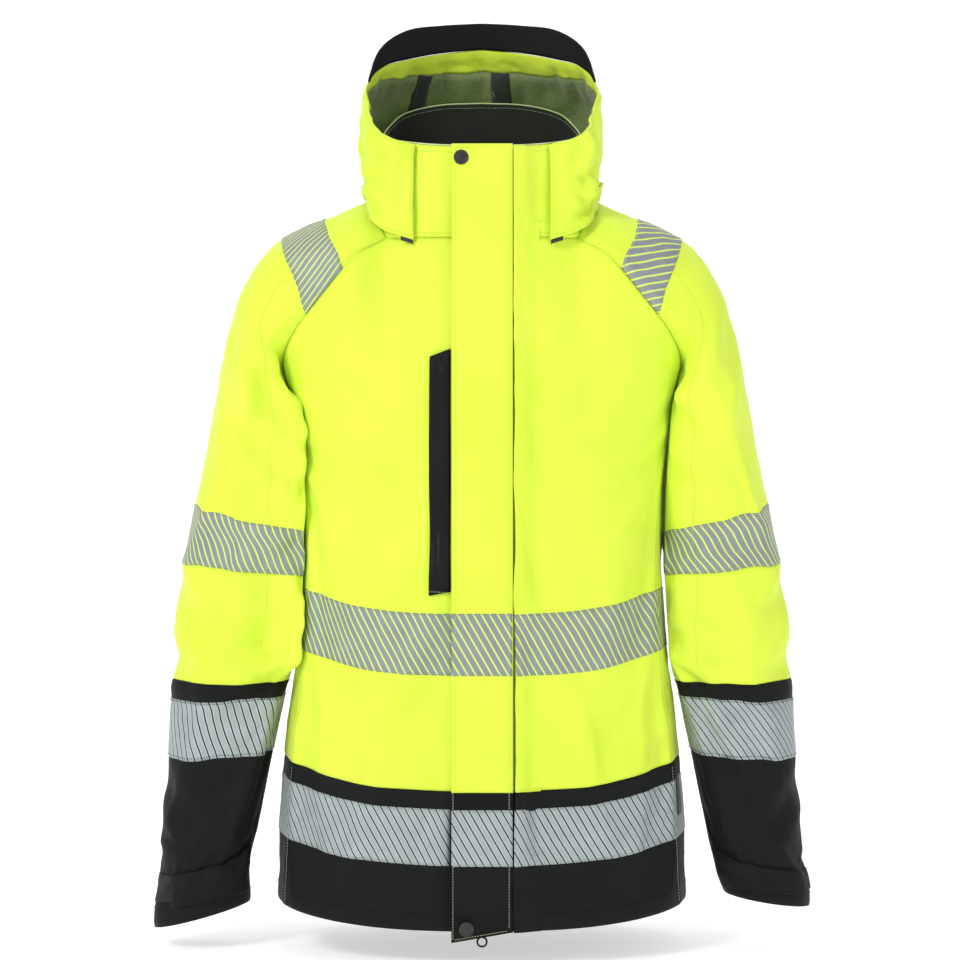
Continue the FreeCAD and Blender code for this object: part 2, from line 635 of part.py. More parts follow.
def make_pocket():
    """The chest pocket: zip, welt and bag."""
    zip_z = (POCKET_Z[0] + 12, POCKET_Z[1] - 12)
    tape = block((2.6, 9), (3.0, 3.5), zip_z)
    teeth = comb(*zip_z, (0.8, 2.4), 4, (1.7, 3.3))
    save_front("pocket_zip_tapes", *both_sides(tape, POCKET_ZIP_X))
    save_front("pocket_zip_teeth", *both_sides(teeth, POCKET_ZIP_X))
    body = slider(zip_z[1] - 12, 10, 3.2, -0.3, 4.8, (1.3, 3.9))
    body.translate(Vector(POCKET_ZIP_X, 0, 0))
    save_front("pocket_slider", body)
    low, high = [NECK_FRONT.z + z for z in POCKET_Z]
    save("pocket_welt", strip(front_at, POCKET_X, (low, high), (4, 9), (2.3, 3.5), 1, True))
    save("pocket_bag", strip(front_at, (33, 125), (low - 12, high + 4), (7, 9), (-8, -6.8), 1, True))


os.makedirs("parts", exist_ok=True)
for each_side in SIDES:
    make_front(each_side)
    make_sleeve(each_side)
    make_cuff_tab(each_side)
make_back()
make_body_tapes()
make_shoulder_tapes()
make_collar()
make_hood()
make_flap()
make_zip()
make_pocket()
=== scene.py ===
"""Looks of the hooded high-visibility coat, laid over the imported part.

The cloth surfaces follow the same outlines as the part. Inside this script they are in millimetres
about the middle of the neck opening; a mesh is made in metres about the hang loop, as the part is.
The wearer's left is +X and the front faces -Y.
"""

import math

import bpy
import numpy as np
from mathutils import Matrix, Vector
from mathutils.noise import noise as noise_at


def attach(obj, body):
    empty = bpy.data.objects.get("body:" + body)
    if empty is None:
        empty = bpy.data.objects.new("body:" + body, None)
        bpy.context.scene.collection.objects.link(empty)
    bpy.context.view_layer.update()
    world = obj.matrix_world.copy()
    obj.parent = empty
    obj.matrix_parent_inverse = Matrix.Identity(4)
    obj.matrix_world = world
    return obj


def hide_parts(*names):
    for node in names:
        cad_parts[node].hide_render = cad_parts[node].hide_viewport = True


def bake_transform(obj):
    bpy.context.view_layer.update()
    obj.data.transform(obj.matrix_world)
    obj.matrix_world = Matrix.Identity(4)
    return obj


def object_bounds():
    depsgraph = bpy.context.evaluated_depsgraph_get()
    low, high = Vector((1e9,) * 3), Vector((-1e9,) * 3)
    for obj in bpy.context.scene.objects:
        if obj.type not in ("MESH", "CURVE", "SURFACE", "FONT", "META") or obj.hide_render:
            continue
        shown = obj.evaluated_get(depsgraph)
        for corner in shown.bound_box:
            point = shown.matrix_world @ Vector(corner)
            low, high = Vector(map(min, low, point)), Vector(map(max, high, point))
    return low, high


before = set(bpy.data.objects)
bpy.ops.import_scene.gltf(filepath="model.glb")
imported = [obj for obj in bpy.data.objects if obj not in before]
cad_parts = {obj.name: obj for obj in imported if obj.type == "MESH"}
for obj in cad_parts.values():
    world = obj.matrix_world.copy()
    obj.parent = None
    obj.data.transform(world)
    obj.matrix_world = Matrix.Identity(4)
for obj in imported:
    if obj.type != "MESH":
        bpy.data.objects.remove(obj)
CAD_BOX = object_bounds()

# Outlines of the coat.
HOOK = np.array([0, 52, 10.5])
NECK_FRONT = np.array([0, -103, -53])
FRONT_LEAN = 0.0366
SIDE_Y = 5
ROUNDNESS = 0.77
LEVELS = [
    (-731, 214, 122, 16, 12),
    (-584, 206, 118, 24, 10),
    (-500, 196, 110, 24, 6),
    (-400, 189, 106, 24, 4),
    (-300, 190, 112, 20, 2),
    (-225, 199, 116, 12, 0),
]
HEM, COLOUR_BREAK, TOP = -731, -584, -90
SIDE_SEAM = [70, 70, 70, 70, 75, 84]
BODY_BAND, HEM_BAND = (-469, -407), (-662, -603)
FRONT_SEAM = [(97, -84, -50), (128, -98, -70), (163, -90, -110), (190, -72, -143), (205, -46, -172)]
SHOULDER = [(106, -12, -2), (150, -8, -13), (192, -4, -27), (226, 0, -50), (254, 3, -92)]
BACK_SEAM = [(84, 50, -8), (112, 80, -62), (148, 90, -112), (178, 80, -150), (198, 56, -178)]
ARC_START = [0, -8, -15, -28, -52]
UNDERARM = (203, SIDE_Y, -196)
RINGS = [
    (203, -196, 274, -150, 88, 5),
    (204, -262, 287, -212, 80, 6),
    (200, -325, 301, -286, 72, 7),
    (199, -352, 308, -316, 68, 8),
    (197, -396, 319, -377, 66, 8),
    (196, -440, 325, -425, 64, 6),
    (197, -480, 329, -467, 62, 2),
    (202, -505, 330, -500, 58, -2),
    (206, -519, 333, -521, 56, -4),
    (218, -578, 336, -582, 52, -8),
    (233, -654, 340, -654, 46, -12),
    (242, -694, 341, -696, 43, -14),
]
CUFF_RING = {"right": (241, -735, 342, -762, 40, -15), "left": (252, -726, 342, -739, 40, -15)}
N_ARCS = len(FRONT_SEAM)
BAND_TOP, BAND_BOTTOM = N_ARCS + 3, N_ARCS + 4
SLEEVE_BREAK, WRIST_BAND_TOP, WRIST_BAND_BOTTOM = N_ARCS + 7, N_ARCS + 8, N_ARCS + 9
CUFF_TOP, CUFF_END = N_ARCS + 11, N_ARCS + 12
SHOULDER_BAND = (1.35, 2.55)
COLLAR_TOP = [(0, -99.5, 40), (48, -95, 41), (85, -72, 48), (101, -40, 57), (103, -12, 64), (99, 25, 77),
              (84, 52, 94), (46, 70, 106), (0, 76, 109)]
NECK_ANGLES = [0, 22, 40, 65, 90, 115, 135, 158, 180]
HOOD_ANGLE = [38, 55, 70, 90, 112, 135, 158, 180]
HOOD_FOOT = [(69, -101.5, -55), (102, -95, -43), (118, -70, -22), (124, -12, -1), (119, 32, -3),
             (95, 66, -9), (51, 81, -12), (0, 84, -12)]
HOOD_LOW = [(69.5, -99.5, -28), (104, -93, -21), (120, -69, -8), (124.8, -13.5, 6), (121.5, 33.5, 6),
            (99, 75, 4), (55, 96, 3), (0, 102, 3)]
HOOD_HIGH = [(69, -92.5, 26), (104, -86, 40), (121, -62, 58), (127, -16, 76), (124, 40, 92),
             (101, 88, 98), (56, 114, 98), (0, 121, 98)]
HOOD_RIM = [(68, -90, 43), (98, -81, 53), (114, -62, 72), (121, -22, 112), (105, 8, 138),
            (76, 34, 151), (40, 50, 160), (0, 56, 165)]
BRIM_EDGE = [(121, -22, 114), (108, 6, 156), (80, 28, 180), (42, 42, 188), (0, 46, 191)]
HOOD_PIVOT_Y, HOOD_PIVOT_Z, HOOD_CUT_SLOPE = 121, 26, 0.077
COLLAR_START, LINING_ARC, BRIM_ARC, FACING_FOOT = 4.4, (60, 300), (94, 266), 1.88
FLAP_LEFT, FLAP_RIGHT, FLAP_TOP, FLAP_BREAK = -30.5, 31.0, 94, -556
FLAP_FOOT_LEFT, FLAP_FOOT_RIGHT, FLAP_OUT = -704.5, -694, -8.5
SNAPS, SNAP_RADIUS = [(-21.0, 80.0), (-15.5, -691.0)], 7.5
POCKET_X, POCKET_Z = (31.3, 52.5), (-360, -112)
TAB_ROOT, TAB_END, TAB_SPREAD = 0.05, {"right": 0.34, "left": 0.40}, 0.6
FRONT_EDGE_X = 9
SIDES = ("left", "right")


def curve(keys, values, at):
    """Smooth curves through values at increasing keys, read at many places at once."""
    keys, values, at = np.asarray(keys, float), np.asarray(values, float), np.atleast_1d(at).astype(float)
    last = len(keys) - 1
    low = np.maximum(np.arange(last + 1) - 1, 0)
    high = np.minimum(np.arange(last + 1) + 1, last)
    i = np.clip(np.searchsorted(keys, at, "right") - 1, 0, last - 1)
    fit = (-1,) + (1,) * (values.ndim - 1)
    slopes = (values[high] - values[low]) / (keys[high] - keys[low]).reshape(fit)
    h = (keys[i + 1] - keys[i]).reshape(fit)
    s = (at - keys[i]).reshape(fit) / h
    return (values[i] * (2 * s**3 - 3 * s**2 + 1) + slopes[i] * h * (s**3 - 2 * s**2 + s)
            + values[i + 1] * (3 * s**2 - 2 * s**3) + slopes[i + 1] * h * (s**3 - s**2))


def smooth(x):
    """0 below 0, 1 above 1, and an even turn between."""
    x = np.clip(x, 0, 1)
    return x * x * (3 - 2 * x)


# Surfaces as grids of points: the first index runs with u and the second with v.

def ring_point(level, angle):
    """A point of the body at one level and at an angle from the middle of the front."""
    z_side, half, back, drop_front, drop_back = level
    sine, cosine = math.sin(math.radians(angle)), math.cos(math.radians(angle))
    z = z_side - (drop_front if cosine > 0 else drop_back) * cosine**2
    front_y = NECK_FRONT[1] + FRONT_LEAN * (z_side - drop_front - NECK_FRONT[2])
    reach = SIDE_Y - front_y if cosine > 0 else back - SIDE_Y
    x = math.copysign(half * abs(sine) ** ROUNDNESS, sine)
    return x, SIDE_Y - math.copysign(reach * abs(cosine) ** ROUNDNESS, cosine), z


FRONT_KEYS = [0, 7, 15, 23, 34, 50, 66, 79, 90]
FRONT_TOP = [tuple(NECK_FRONT), (34, -102, -53), (67, -96, -52)] + FRONT_SEAM + [UNDERARM]
BACK_KEYS = [0, 8, 18.5, 27.5, 41.5, 57.5, 75.5, 90]
BACK_TOP = [(0, 62, 0), (43, 59, -2)] + BACK_SEAM + [UNDERARM]
BODY_KEYS = [level[0] for level in LEVELS] + [TOP]


def body_columns(keys, top, is_front):
    """Lines up the body, each ending at a point of the seam above it."""
    columns = []
    for key, end in zip(keys, top):
        angles = [key / 90 * seam if is_front else 180 - key / 90 * (180 - seam) for seam in SIDE_SEAM]
        columns.append([ring_point(level, angle) for level, angle in zip(LEVELS, angles)] + [end])
    return np.array(columns, float)


FRONT_COLUMNS = body_columns(FRONT_KEYS, FRONT_TOP, True)
BACK_COLUMNS = body_columns(BACK_KEYS, BACK_TOP, False)


def front_grid(keys, levels):
    """The left front, with the key running from the middle to the side seam."""
    rows = curve(BODY_KEYS, np.swapaxes(FRONT_COLUMNS, 0, 1), levels)
    return curve(FRONT_KEYS, np.swapaxes(rows, 0, 1), keys)


def mirrored(grid, where):
    """The grid with x turned about where the mask says so."""
    grid = grid.copy()
    grid[where, :, 0] *= -1
    return grid


def back_grid(keys, levels):
    """The back, with negative keys on the right."""
    keys = np.atleast_1d(keys).astype(float)
    rows = curve(BODY_KEYS, np.swapaxes(BACK_COLUMNS, 0, 1), levels)
    return mirrored(curve(BACK_KEYS, np.swapaxes(rows, 0, 1), abs(keys)), keys < 0)


def sleeve_grid(side):
    """The left sleeve with the named side's cuff: u goes round from the front and v towards the cuff."""
    stations = []
    for f, t, b, start in zip(*map(np.array, (FRONT_SEAM, SHOULDER, BACK_SEAM, ARC_START))):
        up = (t - (f + b) / 2) / (1 - math.sin(math.radians(start)))
        stations.append((t - up, (f - b) / 2 / math.cos(math.radians(start)), up, start))
    for xi, zi, xo, zo, depth, y in RINGS + [CUFF_RING[side]]:
        inner, outer = np.array([xi, y, zi]), np.array([xo, y, zo])
        stations.append(((inner + outer) / 2, np.array([0, -depth, 0]), (outer - inner) / 2, -90))

    def grid(turns, along):
        turns = np.atleast_1d(turns).astype(float)
        rings = []
        for centre, depth, height, start in stations:
            angle = np.radians(start + turns * (180 - 2 * start))
            rings.append(centre + np.outer(np.cos(angle), depth) + np.outer(np.sin(angle), height))
        return np.swapaxes(curve(np.arange(len(stations)), np.array(rings), along), 0, 1)
    return grid


SLEEVE = {side: sleeve_grid(side) for side in SIDES}
COLLAR_FOOT = ([tuple(NECK_FRONT), (50, -99, -52.5), FRONT_SEAM[0]]
               + [tuple(SLEEVE["left"](turn, 0)[0, 0]) for turn in (0.25, 0.5, 0.75)]
               + [BACK_SEAM[0], (43, 59, -2), (0, 62, 0)])


def around(keys, lines, heights, angles, height_keys):
    """A surface through closed lines that are given by their left halves."""
    angles = np.atleast_1d(angles).astype(float)
    rows = curve(keys, np.swapaxes(np.array(lines, float), 0, 1), np.minimum(angles, 360 - angles))
    grid = np.swapaxes(curve(height_keys, np.swapaxes(rows, 0, 1), heights), 0, 1)
    return mirrored(grid, angles > 180)


def collar_grid(angles, heights):
    """The outer collar, from its foot at 0 to its top at 1."""
    return around(NECK_ANGLES, [COLLAR_FOOT, COLLAR_TOP], heights, angles, [0, 1])


def hood_cut_line():
    """Points of the line that the hood bends on, one for each hood angle."""
    line = []
    for low, high in zip(np.array(HOOD_LOW, float), np.array(HOOD_HIGH, float)):
        share = 0.5
        for _ in range(20):
            point = low + (high - low) * share
            want = HOOD_PIVOT_Z + HOOD_CUT_SLOPE * (point[1] - HOOD_PIVOT_Y)
            share += (want - point[2]) / max(high[2] - low[2], 1)
        line.append(point)
    return line


HOOD_LINES = [HOOD_FOOT, HOOD_LOW, hood_cut_line(), HOOD_HIGH, HOOD_RIM]


def hood_grid(angles, heights):
    """The hood, from its foot at 0 to its rim at 2."""
    return around(HOOD_ANGLE, HOOD_LINES, heights, angles, [0, 0.55, 1, 1.55, 2])


def brim_grid(angles, heights):
    """The brim, from the rim of the hood at 0 to its own edge at 1."""
    angles = np.atleast_1d(angles).astype(float)
    foot = hood_grid(angles, [2])[:, :1]
    edge = around(HOOD_ANGLE[3:], [BRIM_EDGE, BRIM_EDGE], [0], angles, [0, 1])[:, :1]
    share = np.atleast_1d(heights).reshape(1, -1, 1)
    return foot + (edge - foot) * share


def front_plane(points):
    """Points given in the front plane's own axes, moved to their place on the coat."""
    tilt = math.atan(FRONT_LEAN)
    x, y, z = np.moveaxis(np.asarray(points, float), -1, 0)
    turned = [x, y * math.cos(tilt) + z * math.sin(tilt), z * math.cos(tilt) - y * math.sin(tilt)]
    return np.stack(turned, -1) + NECK_FRONT


def body_width(y, z):
    """Half the body's width at a depth and a height."""
    heights, sizes = [level[0] for level in LEVELS], [level[1:3] for level in LEVELS]
    shape = curve(heights, sizes, np.clip(z, HEM, heights[-1]).ravel())
    half, back = shape[:, 0].reshape(z.shape), shape[:, 1].reshape(z.shape)
    front_y = NECK_FRONT[1] + FRONT_LEAN * (z - NECK_FRONT[2])
    reach = np.where(y < SIDE_Y, SIDE_Y - front_y, back - SIDE_Y)
    share = np.clip(abs(y - SIDE_Y) / reach, 0, 1)
    return half * (1 - share ** (2 / ROUNDNESS)) ** (ROUNDNESS / 2)


def beside_body(points, us, lean, gap=3.4):
    """Lets a sleeve that hangs beside the body lie against it, and keeps it just outside.

    The sleeve's round starts at its inner line. The lean is how far its inner front comes forwards.
    """
    x, y, z = np.moveaxis(points, -1, 0)
    below_arm = smooth((-205 - z) / 30)
    from_inside = np.minimum(us, 1 - us)[:, None]
    near = smooth((0.25 - from_inside) / 0.18) * smooth((-185 - z) / 35)
    near = near * np.where(us[:, None] < 0.5, smooth((z + 512) / 30), smooth((z + 400) / 40))
    in_front = near * np.sin(np.clip(us[:, None] / 0.22, 0, 1) * math.pi)
    y = y - lean * in_front
    limit = body_width(y, z) + gap
    beside = abs(x) + (np.minimum(limit, abs(x)) - abs(x)) * near
    return np.stack([np.copysign(np.maximum(beside, limit * below_arm), x), y, z], -1)


# Cloth: a surface with its folds, sampled wherever a piece needs it.

def unit(vectors):
    """The same vectors, one long."""
    return vectors / np.maximum(np.linalg.norm(vectors, axis=-1, keepdims=True), 1e-9)


def normals_of(grid, outward):
    """Directions out of a grid at its points."""
    return unit(np.cross(np.gradient(grid, axis=0), np.gradient(grid, axis=1))) * outward


def lengths(grid, axis):
    """Distance along the grid's lines on one axis, from the first line across them."""
    steps = np.linalg.norm(np.diff(grid, axis=axis), axis=-1)
    total = np.cumsum(steps, axis=axis)
    return np.insert(total, 0, 0, axis=axis)


def fold(points, normals, start, end, width, depth, ridge=0.55):
    """A soft valley from start to end with a low ridge on each side."""
    start, end = np.array(start, float), np.array(end, float)
    along = end - start
    share = ((points - start) @ along) / (along @ along)
    nearest = start + np.clip(share, 0, 1)[..., None] * along
    distance = np.linalg.norm(points - nearest, axis=-1) / width
    fade = smooth(share / 0.35 + 0.3) * smooth((1 - share) / 0.35 + 0.3)
    shape = ridge * np.exp(-((distance - 1.7) / 0.75) ** 2) - np.exp(-(distance**2))
    return normals * (shape * fade * depth)[..., None]


def from_ends(line, at, reach=0.05):
    """0 at either end of a line of parameters, 1 away from them."""
    share = (np.asarray(at, float) - line[0]) / (line[-1] - line[0])
    return smooth(np.minimum(share, 1 - share) / reach)


def crumpled(points, size, depth):
    """Small creases of a given size and depth, at each point."""
    flat = points.reshape(-1, 3) / size
    height = [0.35 - abs(noise_at(Vector(p))) - 0.5 * abs(noise_at(Vector(p * 2.1))) for p in flat]
    return np.reshape(height, points.shape[:-1]) * depth * 2


class Cloth:
    """A cloth surface: a coarse grid that a simulation may move, and folds laid on it."""

    def __init__(self, name, surface, us, vs, outward, mirror=False, folds=(), slack=0.0, lean=None,
                 crumple=(60.0, 0.8)):
        self.name, self.us, self.vs, self.outward = name, np.array(us, float), np.array(vs, float), outward
        self.points = surface(self.us, self.vs)
        if mirror:
            self.points = self.points * np.array([-1, 1, 1])
            self.outward = -outward
        self.folds, self.slack, self.lean, self.crumple = folds, slack, lean, crumple

    def grid(self, us, vs, offset=0.0):
        """The finished surface at every pair of u and v, moved out along its normals."""
        rows = curve(self.us, self.points, us)
        points = np.swapaxes(curve(self.vs, np.swapaxes(rows, 0, 1), vs), 0, 1)
        normals = normals_of(points, self.outward)
        moved = points.copy()
        for one_fold in self.folds:
            moved = moved + fold(points, normals, *one_fold)
        inside = from_ends(self.us, us)[:, None] * from_ends(self.vs, vs)
        moved = moved + normals * (inside * crumpled(points, *self.crumple))[..., None]
        if self.lean is not None:
            moved = beside_body(moved, np.asarray(us, float), self.lean)
        if np.any(offset):
            moved = moved + normals_of(moved, self.outward) * offset
        return moved


FURTHEST_MOVE = 9.0     # how far settling may carry a point of cloth, in millimetres


def simulate(cloths, frames=16):
    """Lets each slack cloth settle between its pinned edges, and keeps what it settles to."""
    made = []
    for cloth in cloths:
        if not cloth.slack:
            continue
        nu, nv = cloth.points.shape[:2]
        index = np.arange(nu * nv).reshape(nu, nv)
        faces = np.stack([index[:-1, :-1], index[1:, :-1], index[1:, 1:], index[:-1, 1:]], -1).reshape(-1, 4)
        mesh = bpy.data.meshes.new(cloth.name + "_sim")
        mesh.from_pydata((cloth.points.reshape(-1, 3) * 0.001).tolist(), [], faces.tolist())
        obj = bpy.data.objects.new(cloth.name + "_sim", mesh)
        bpy.context.collection.objects.link(obj)
        pins = obj.vertex_groups.new(name="pins")
        edge = np.unique(np.concatenate([index[0], index[-1], index[:, 0], index[:, -1]]))
        pins.add([int(i) for i in edge], 1.0, "REPLACE")
        settings = obj.modifiers.new("Cloth", "CLOTH").settings
        settings.vertex_group_mass = "pins"
        settings.quality = 5
        settings.mass = 0.2
        settings.tension_stiffness = settings.compression_stiffness = 12
        settings.shear_stiffness = 4
        settings.bending_stiffness = 0.4
        settings.shrink_min = -cloth.slack
        settings.effector_weights.gravity = 0.25
        made.append((cloth, obj))
    scene = bpy.context.scene
    for number in range(1, frames + 1):
        scene.frame_set(number)
    graph = bpy.context.evaluated_depsgraph_get()
    for cloth, obj in made:
        settled = np.empty(len(obj.data.vertices) * 3)
        obj.evaluated_get(graph).data.vertices.foreach_get("co", settled)
        move = settled.reshape(cloth.points.shape) * 1000 - cloth.points
        reach = np.linalg.norm(move, axis=-1, keepdims=True)
        inside = from_ends(cloth.us, cloth.us, 0.13)[:, None] * from_ends(cloth.vs, cloth.vs, 0.08)
        held = FURTHEST_MOVE * np.tanh(reach / FURTHEST_MOVE) / np.maximum(reach, 1e-6)
        cloth.points = cloth.points + move * held * inside[..., None]
        bpy.data.objects.remove(obj)
    scene.frame_set(1)


def spaced(low, high, size, pitch):
    """Numbers from low to high, about a pitch apart over a length of the given size."""
    return np.linspace(low, high, max(3, int(round(size / pitch)) + 1))


# Materials.

def nodes_of(name):
    """A new material with its node tree and its shader."""
    material = bpy.data.materials.new(name)
    material.use_nodes = True
    tree = material.node_tree
    return material, tree, tree.nodes["Principled BSDF"]


def add(tree, kind, **values):
    """A node with its properties or inputs set by name."""
    node = tree.nodes.new("ShaderNode" + kind)
    for key, value in values.items():
        if key in node.bl_rna.properties:
            setattr(node, key, value)
        else:
            node.inputs[key.replace("_", " ")].default_value = value
    return node


def maths(tree, operation, a, b=None):
    """The result of one sum on values or on outputs of nodes."""
    node = tree.nodes.new("ShaderNodeMath")
    node.operation = operation
    for socket, value in zip(node.inputs, (a, b)):
        if value is None:
            continue
        if isinstance(value, (int, float)):
            socket.default_value = value
        else:
            tree.links.new(value, socket)
    return node.outputs[0]


def mixed(tree, factor, a, b):
    """A colour between two others."""
    node = tree.nodes.new("ShaderNodeMix")
    node.data_type = "RGBA"
    tree.links.new(factor, node.inputs["Factor"])
    for socket, value in zip((node.inputs[6], node.inputs[7]), (a, b)):
        if isinstance(value, tuple):
            socket.default_value = value + (1,)
        else:
            tree.links.new(value, socket)
    return node.outputs[2]


def position(tree, scale):
    """Object position, scaled, in metres."""
    coordinates = add(tree, "TexCoord")
    mapping = add(tree, "Mapping")
    mapping.inputs["Scale"].default_value = scale
    tree.links.new(coordinates.outputs["Object"], mapping.inputs["Vector"])
    return mapping.outputs[0]


def noise(tree, vector, scale, detail=3.0, roughness=0.55):
    """Soft random patches at a place."""
    node = add(tree, "TexNoise", Scale=scale, Detail=detail, Roughness=roughness)
    tree.links.new(vector, node.inputs["Vector"])
    return node.outputs[0]


def ramp(tree, value, low, high):
    """0 to 1 as a value runs from low to high."""
    node = add(tree, "MapRange")
    node.inputs["From Min"].default_value = low
    node.inputs["From Max"].default_value = high
    tree.links.new(value, node.inputs["Value"])
    return node.outputs[0]


def bump(tree, shader, height, distance, strength=1.0, below=None):
    """Gives a shader relief from a height, over any relief below it."""
    node = add(tree, "Bump", Strength=strength, Distance=distance)
    tree.links.new(height, node.inputs["Height"])
    if below is not None:
        tree.links.new(below, node.inputs["Normal"])
    tree.links.new(node.outputs[0], shader.inputs["Normal"])
    return node.outputs[0]


def weave(tree, pitch):
    """Height of a plain weave along the cloth's own threads."""
    uv = add(tree, "UVMap").outputs[0]
    parts = add(tree, "SeparateXYZ")
    tree.links.new(uv, parts.inputs[0])
    turn = 2 * math.pi / pitch
    warp = maths(tree, "SINE", maths(tree, "MULTIPLY", parts.outputs[0], turn))
    weft = maths(tree, "SINE", maths(tree, "MULTIPLY", parts.outputs[1], turn))
    return maths(tree, "MULTIPLY", warp, weft)


def shell_cloth(name, colour, dark, roughness, crumple, sheen):
    """Laminated shell cloth: fine weave, small creases, and colour that deepens a little in patches."""
    material, tree, shader = nodes_of(name)
    place = position(tree, (1, 1, 1))
    patches = ramp(tree, noise(tree, place, 9.0), 0.35, 0.7)
    specks = ramp(tree, noise(tree, place, 900.0, 2.0), 0.3, 0.75)
    shade = maths(tree, "ADD", maths(tree, "MULTIPLY", patches, 0.6), maths(tree, "MULTIPLY", specks, 0.4))
    tree.links.new(mixed(tree, shade, dark, colour), shader.inputs["Base Color"])
    rough = add(tree, "MapRange")
    rough.inputs["To Min"].default_value = roughness - 0.07
    rough.inputs["To Max"].default_value = roughness + 0.07
    tree.links.new(noise(tree, place, 35.0), rough.inputs["Value"])
    tree.links.new(rough.outputs[0], shader.inputs["Roughness"])
    shader.inputs["Sheen Weight"].default_value = sheen
    shader.inputs["Sheen Roughness"].default_value = 0.5
    shader.inputs["Specular IOR Level"].default_value = 0.35 if sheen > 0.05 else 0.16
    creases = noise(tree, position(tree, (1, 1, 0.6)), 26.0, 3.0, 0.5)
    folds = bump(tree, shader, creases, crumple, 0.6)
    bump(tree, shader, weave(tree, 0.0009), 0.00006, 0.5, folds)
    return material


def stripes(tree, slant, period, gap):
    """1 in the gaps between the slanted segments of a tape, and 0 on the segments."""
    uv = add(tree, "UVMap").outputs[0]
    parts = add(tree, "SeparateXYZ")
    tree.links.new(uv, parts.inputs[0])
    across = maths(tree, "MULTIPLY", parts.outputs[0], math.cos(slant) / period)
    up = maths(tree, "MULTIPLY", parts.outputs[1], math.sin(slant) / period)
    place = maths(tree, "FRACT", maths(tree, "ADD", maths(tree, "ADD", across, up), 1000.0))
    return maths(tree, "LESS_THAN", place, gap / period), place


def segmented_tape(name, gap_colour, slant, silver, shine):
    """Silver reflective film in slanted segments, with the cloth's colour in the gaps between them."""
    material, tree, shader = nodes_of(name)
    in_gap, place = stripes(tree, slant, 0.0070, 0.00125)
    place_3d = position(tree, (1, 1, 1))
    worn = ramp(tree, noise(tree, place_3d, 60.0, 4.0), 0.3, 0.75)
    middle = maths(tree, "ABSOLUTE", maths(tree, "SUBTRACT", place, 0.59))
    towards_edge = ramp(tree, middle, 0.22, 0.42)
    ribs = maths(tree, "SINE", maths(tree, "MULTIPLY", place, 2 * math.pi * 5))
    shade = maths(tree, "ADD", maths(tree, "MULTIPLY", ribs, 0.16), maths(tree, "MULTIPLY", worn, 0.30))
    shade = maths(tree, "ADD", shade, maths(tree, "MULTIPLY", towards_edge, 0.55))
    dark = tuple(0.72 * part for part in silver)
    light = tuple(1.22 * part for part in silver)
    film = mixed(tree, shade, dark, light)
    tree.links.new(mixed(tree, in_gap, film, gap_colour), shader.inputs["Base Color"])
    metal = maths(tree, "MULTIPLY", maths(tree, "SUBTRACT", 1.0, in_gap), shine)
    tree.links.new(metal, shader.inputs["Metallic"])
    shader.inputs["Roughness"].default_value = 0.5
    shader.inputs["Specular IOR Level"].default_value = 0.25
    low = maths(tree, "MULTIPLY", in_gap, -4.0)
    relief = bump(tree, shader, maths(tree, "ADD", ribs, low), 0.00006, 0.6)
    bump(tree, shader, noise(tree, place_3d, 30.0), 0.0012, 0.5, relief)
    return material


def soft_cloth(name, colour, dark, scale, relief, low=0.35, high=0.65, sheen=0.25):
    """A lining or pile: mottled, rough and softly lit at grazing angles."""
    material, tree, shader = nodes_of(name)
    place = position(tree, (1, 1, 1))
    mottle = ramp(tree, noise(tree, place, scale, 4.0, 0.7), low, high)
    tree.links.new(mixed(tree, mottle, dark, colour), shader.inputs["Base Color"])
    shader.inputs["Roughness"].default_value = 0.85
    shader.inputs["Sheen Weight"].default_value = sheen
    pile = bump(tree, shader, mottle, relief, 0.8)
    bump(tree, shader, noise(tree, place, 24.0), 0.003, 0.6, pile)
    return material


def hard(name, colour, edge, metallic, roughness):
    """Moulded plastic or enamelled metal, rubbed paler in small patches."""
    material, tree, shader = nodes_of(name)
    place = position(tree, (1, 1, 1))
    rubbed = ramp(tree, noise(tree, place, 240.0, 5.0), 0.55, 0.75)
    tree.links.new(mixed(tree, rubbed, colour, edge), shader.inputs["Base Color"])
    rough = add(tree, "MapRange")
    rough.inputs["To Min"].default_value = roughness - 0.1
    rough.inputs["To Max"].default_value = roughness + 0.12
    tree.links.new(noise(tree, place, 400.0), rough.inputs["Value"])
    tree.links.new(rough.outputs[0], shader.inputs["Roughness"])
    shader.inputs["Metallic"].default_value = metallic
    bump(tree, shader, noise(tree, place, 700.0), 0.0001, 0.4)
    return material


YELLOW_TONE = (0.80, 0.97, 0.075)
BLACK_TONE = (0.0065, 0.0085, 0.0080)
YELLOW = shell_cloth("yellow_shell", YELLOW_TONE, (0.70, 0.90, 0.045), 0.62, 0.0035, 0.1)
CRUMPLED = shell_cloth("crumpled_shell", YELLOW_TONE, (0.66, 0.87, 0.04), 0.6, 0.009, 0.1)
BLACK = shell_cloth("black_shell", BLACK_TONE, (0.0045, 0.006, 0.0055), 0.65, 0.0035, 0.03)
SLANT = math.radians(30)
SILVER, BRIGHT_SILVER = (0.33, 0.375, 0.385), (0.47, 0.53, 0.55)
TAPE_ON_YELLOW = segmented_tape("tape_on_yellow", YELLOW_TONE, SLANT, SILVER, 0.15)
TAPE_ON_BLACK = segmented_tape("tape_on_black", BLACK_TONE, SLANT, BRIGHT_SILVER, 0.15)
SHOULDER_TAPE = {
    "right": segmented_tape("right_shoulder_tape", YELLOW_TONE, math.radians(4), SILVER, 0.15),
    "left": segmented_tape("left_shoulder_tape", YELLOW_TONE, math.radians(54), SILVER, 0.15),
}
INNER = soft_cloth("inner_face", (0.030, 0.042, 0.028), (0.015, 0.022, 0.014), 500.0, 0.0002)
COLLAR_INNER = soft_cloth("collar_lining", (0.007, 0.011, 0.006), (0.003, 0.005, 0.003), 700.0, 0.0003,
                          sheen=0.06)
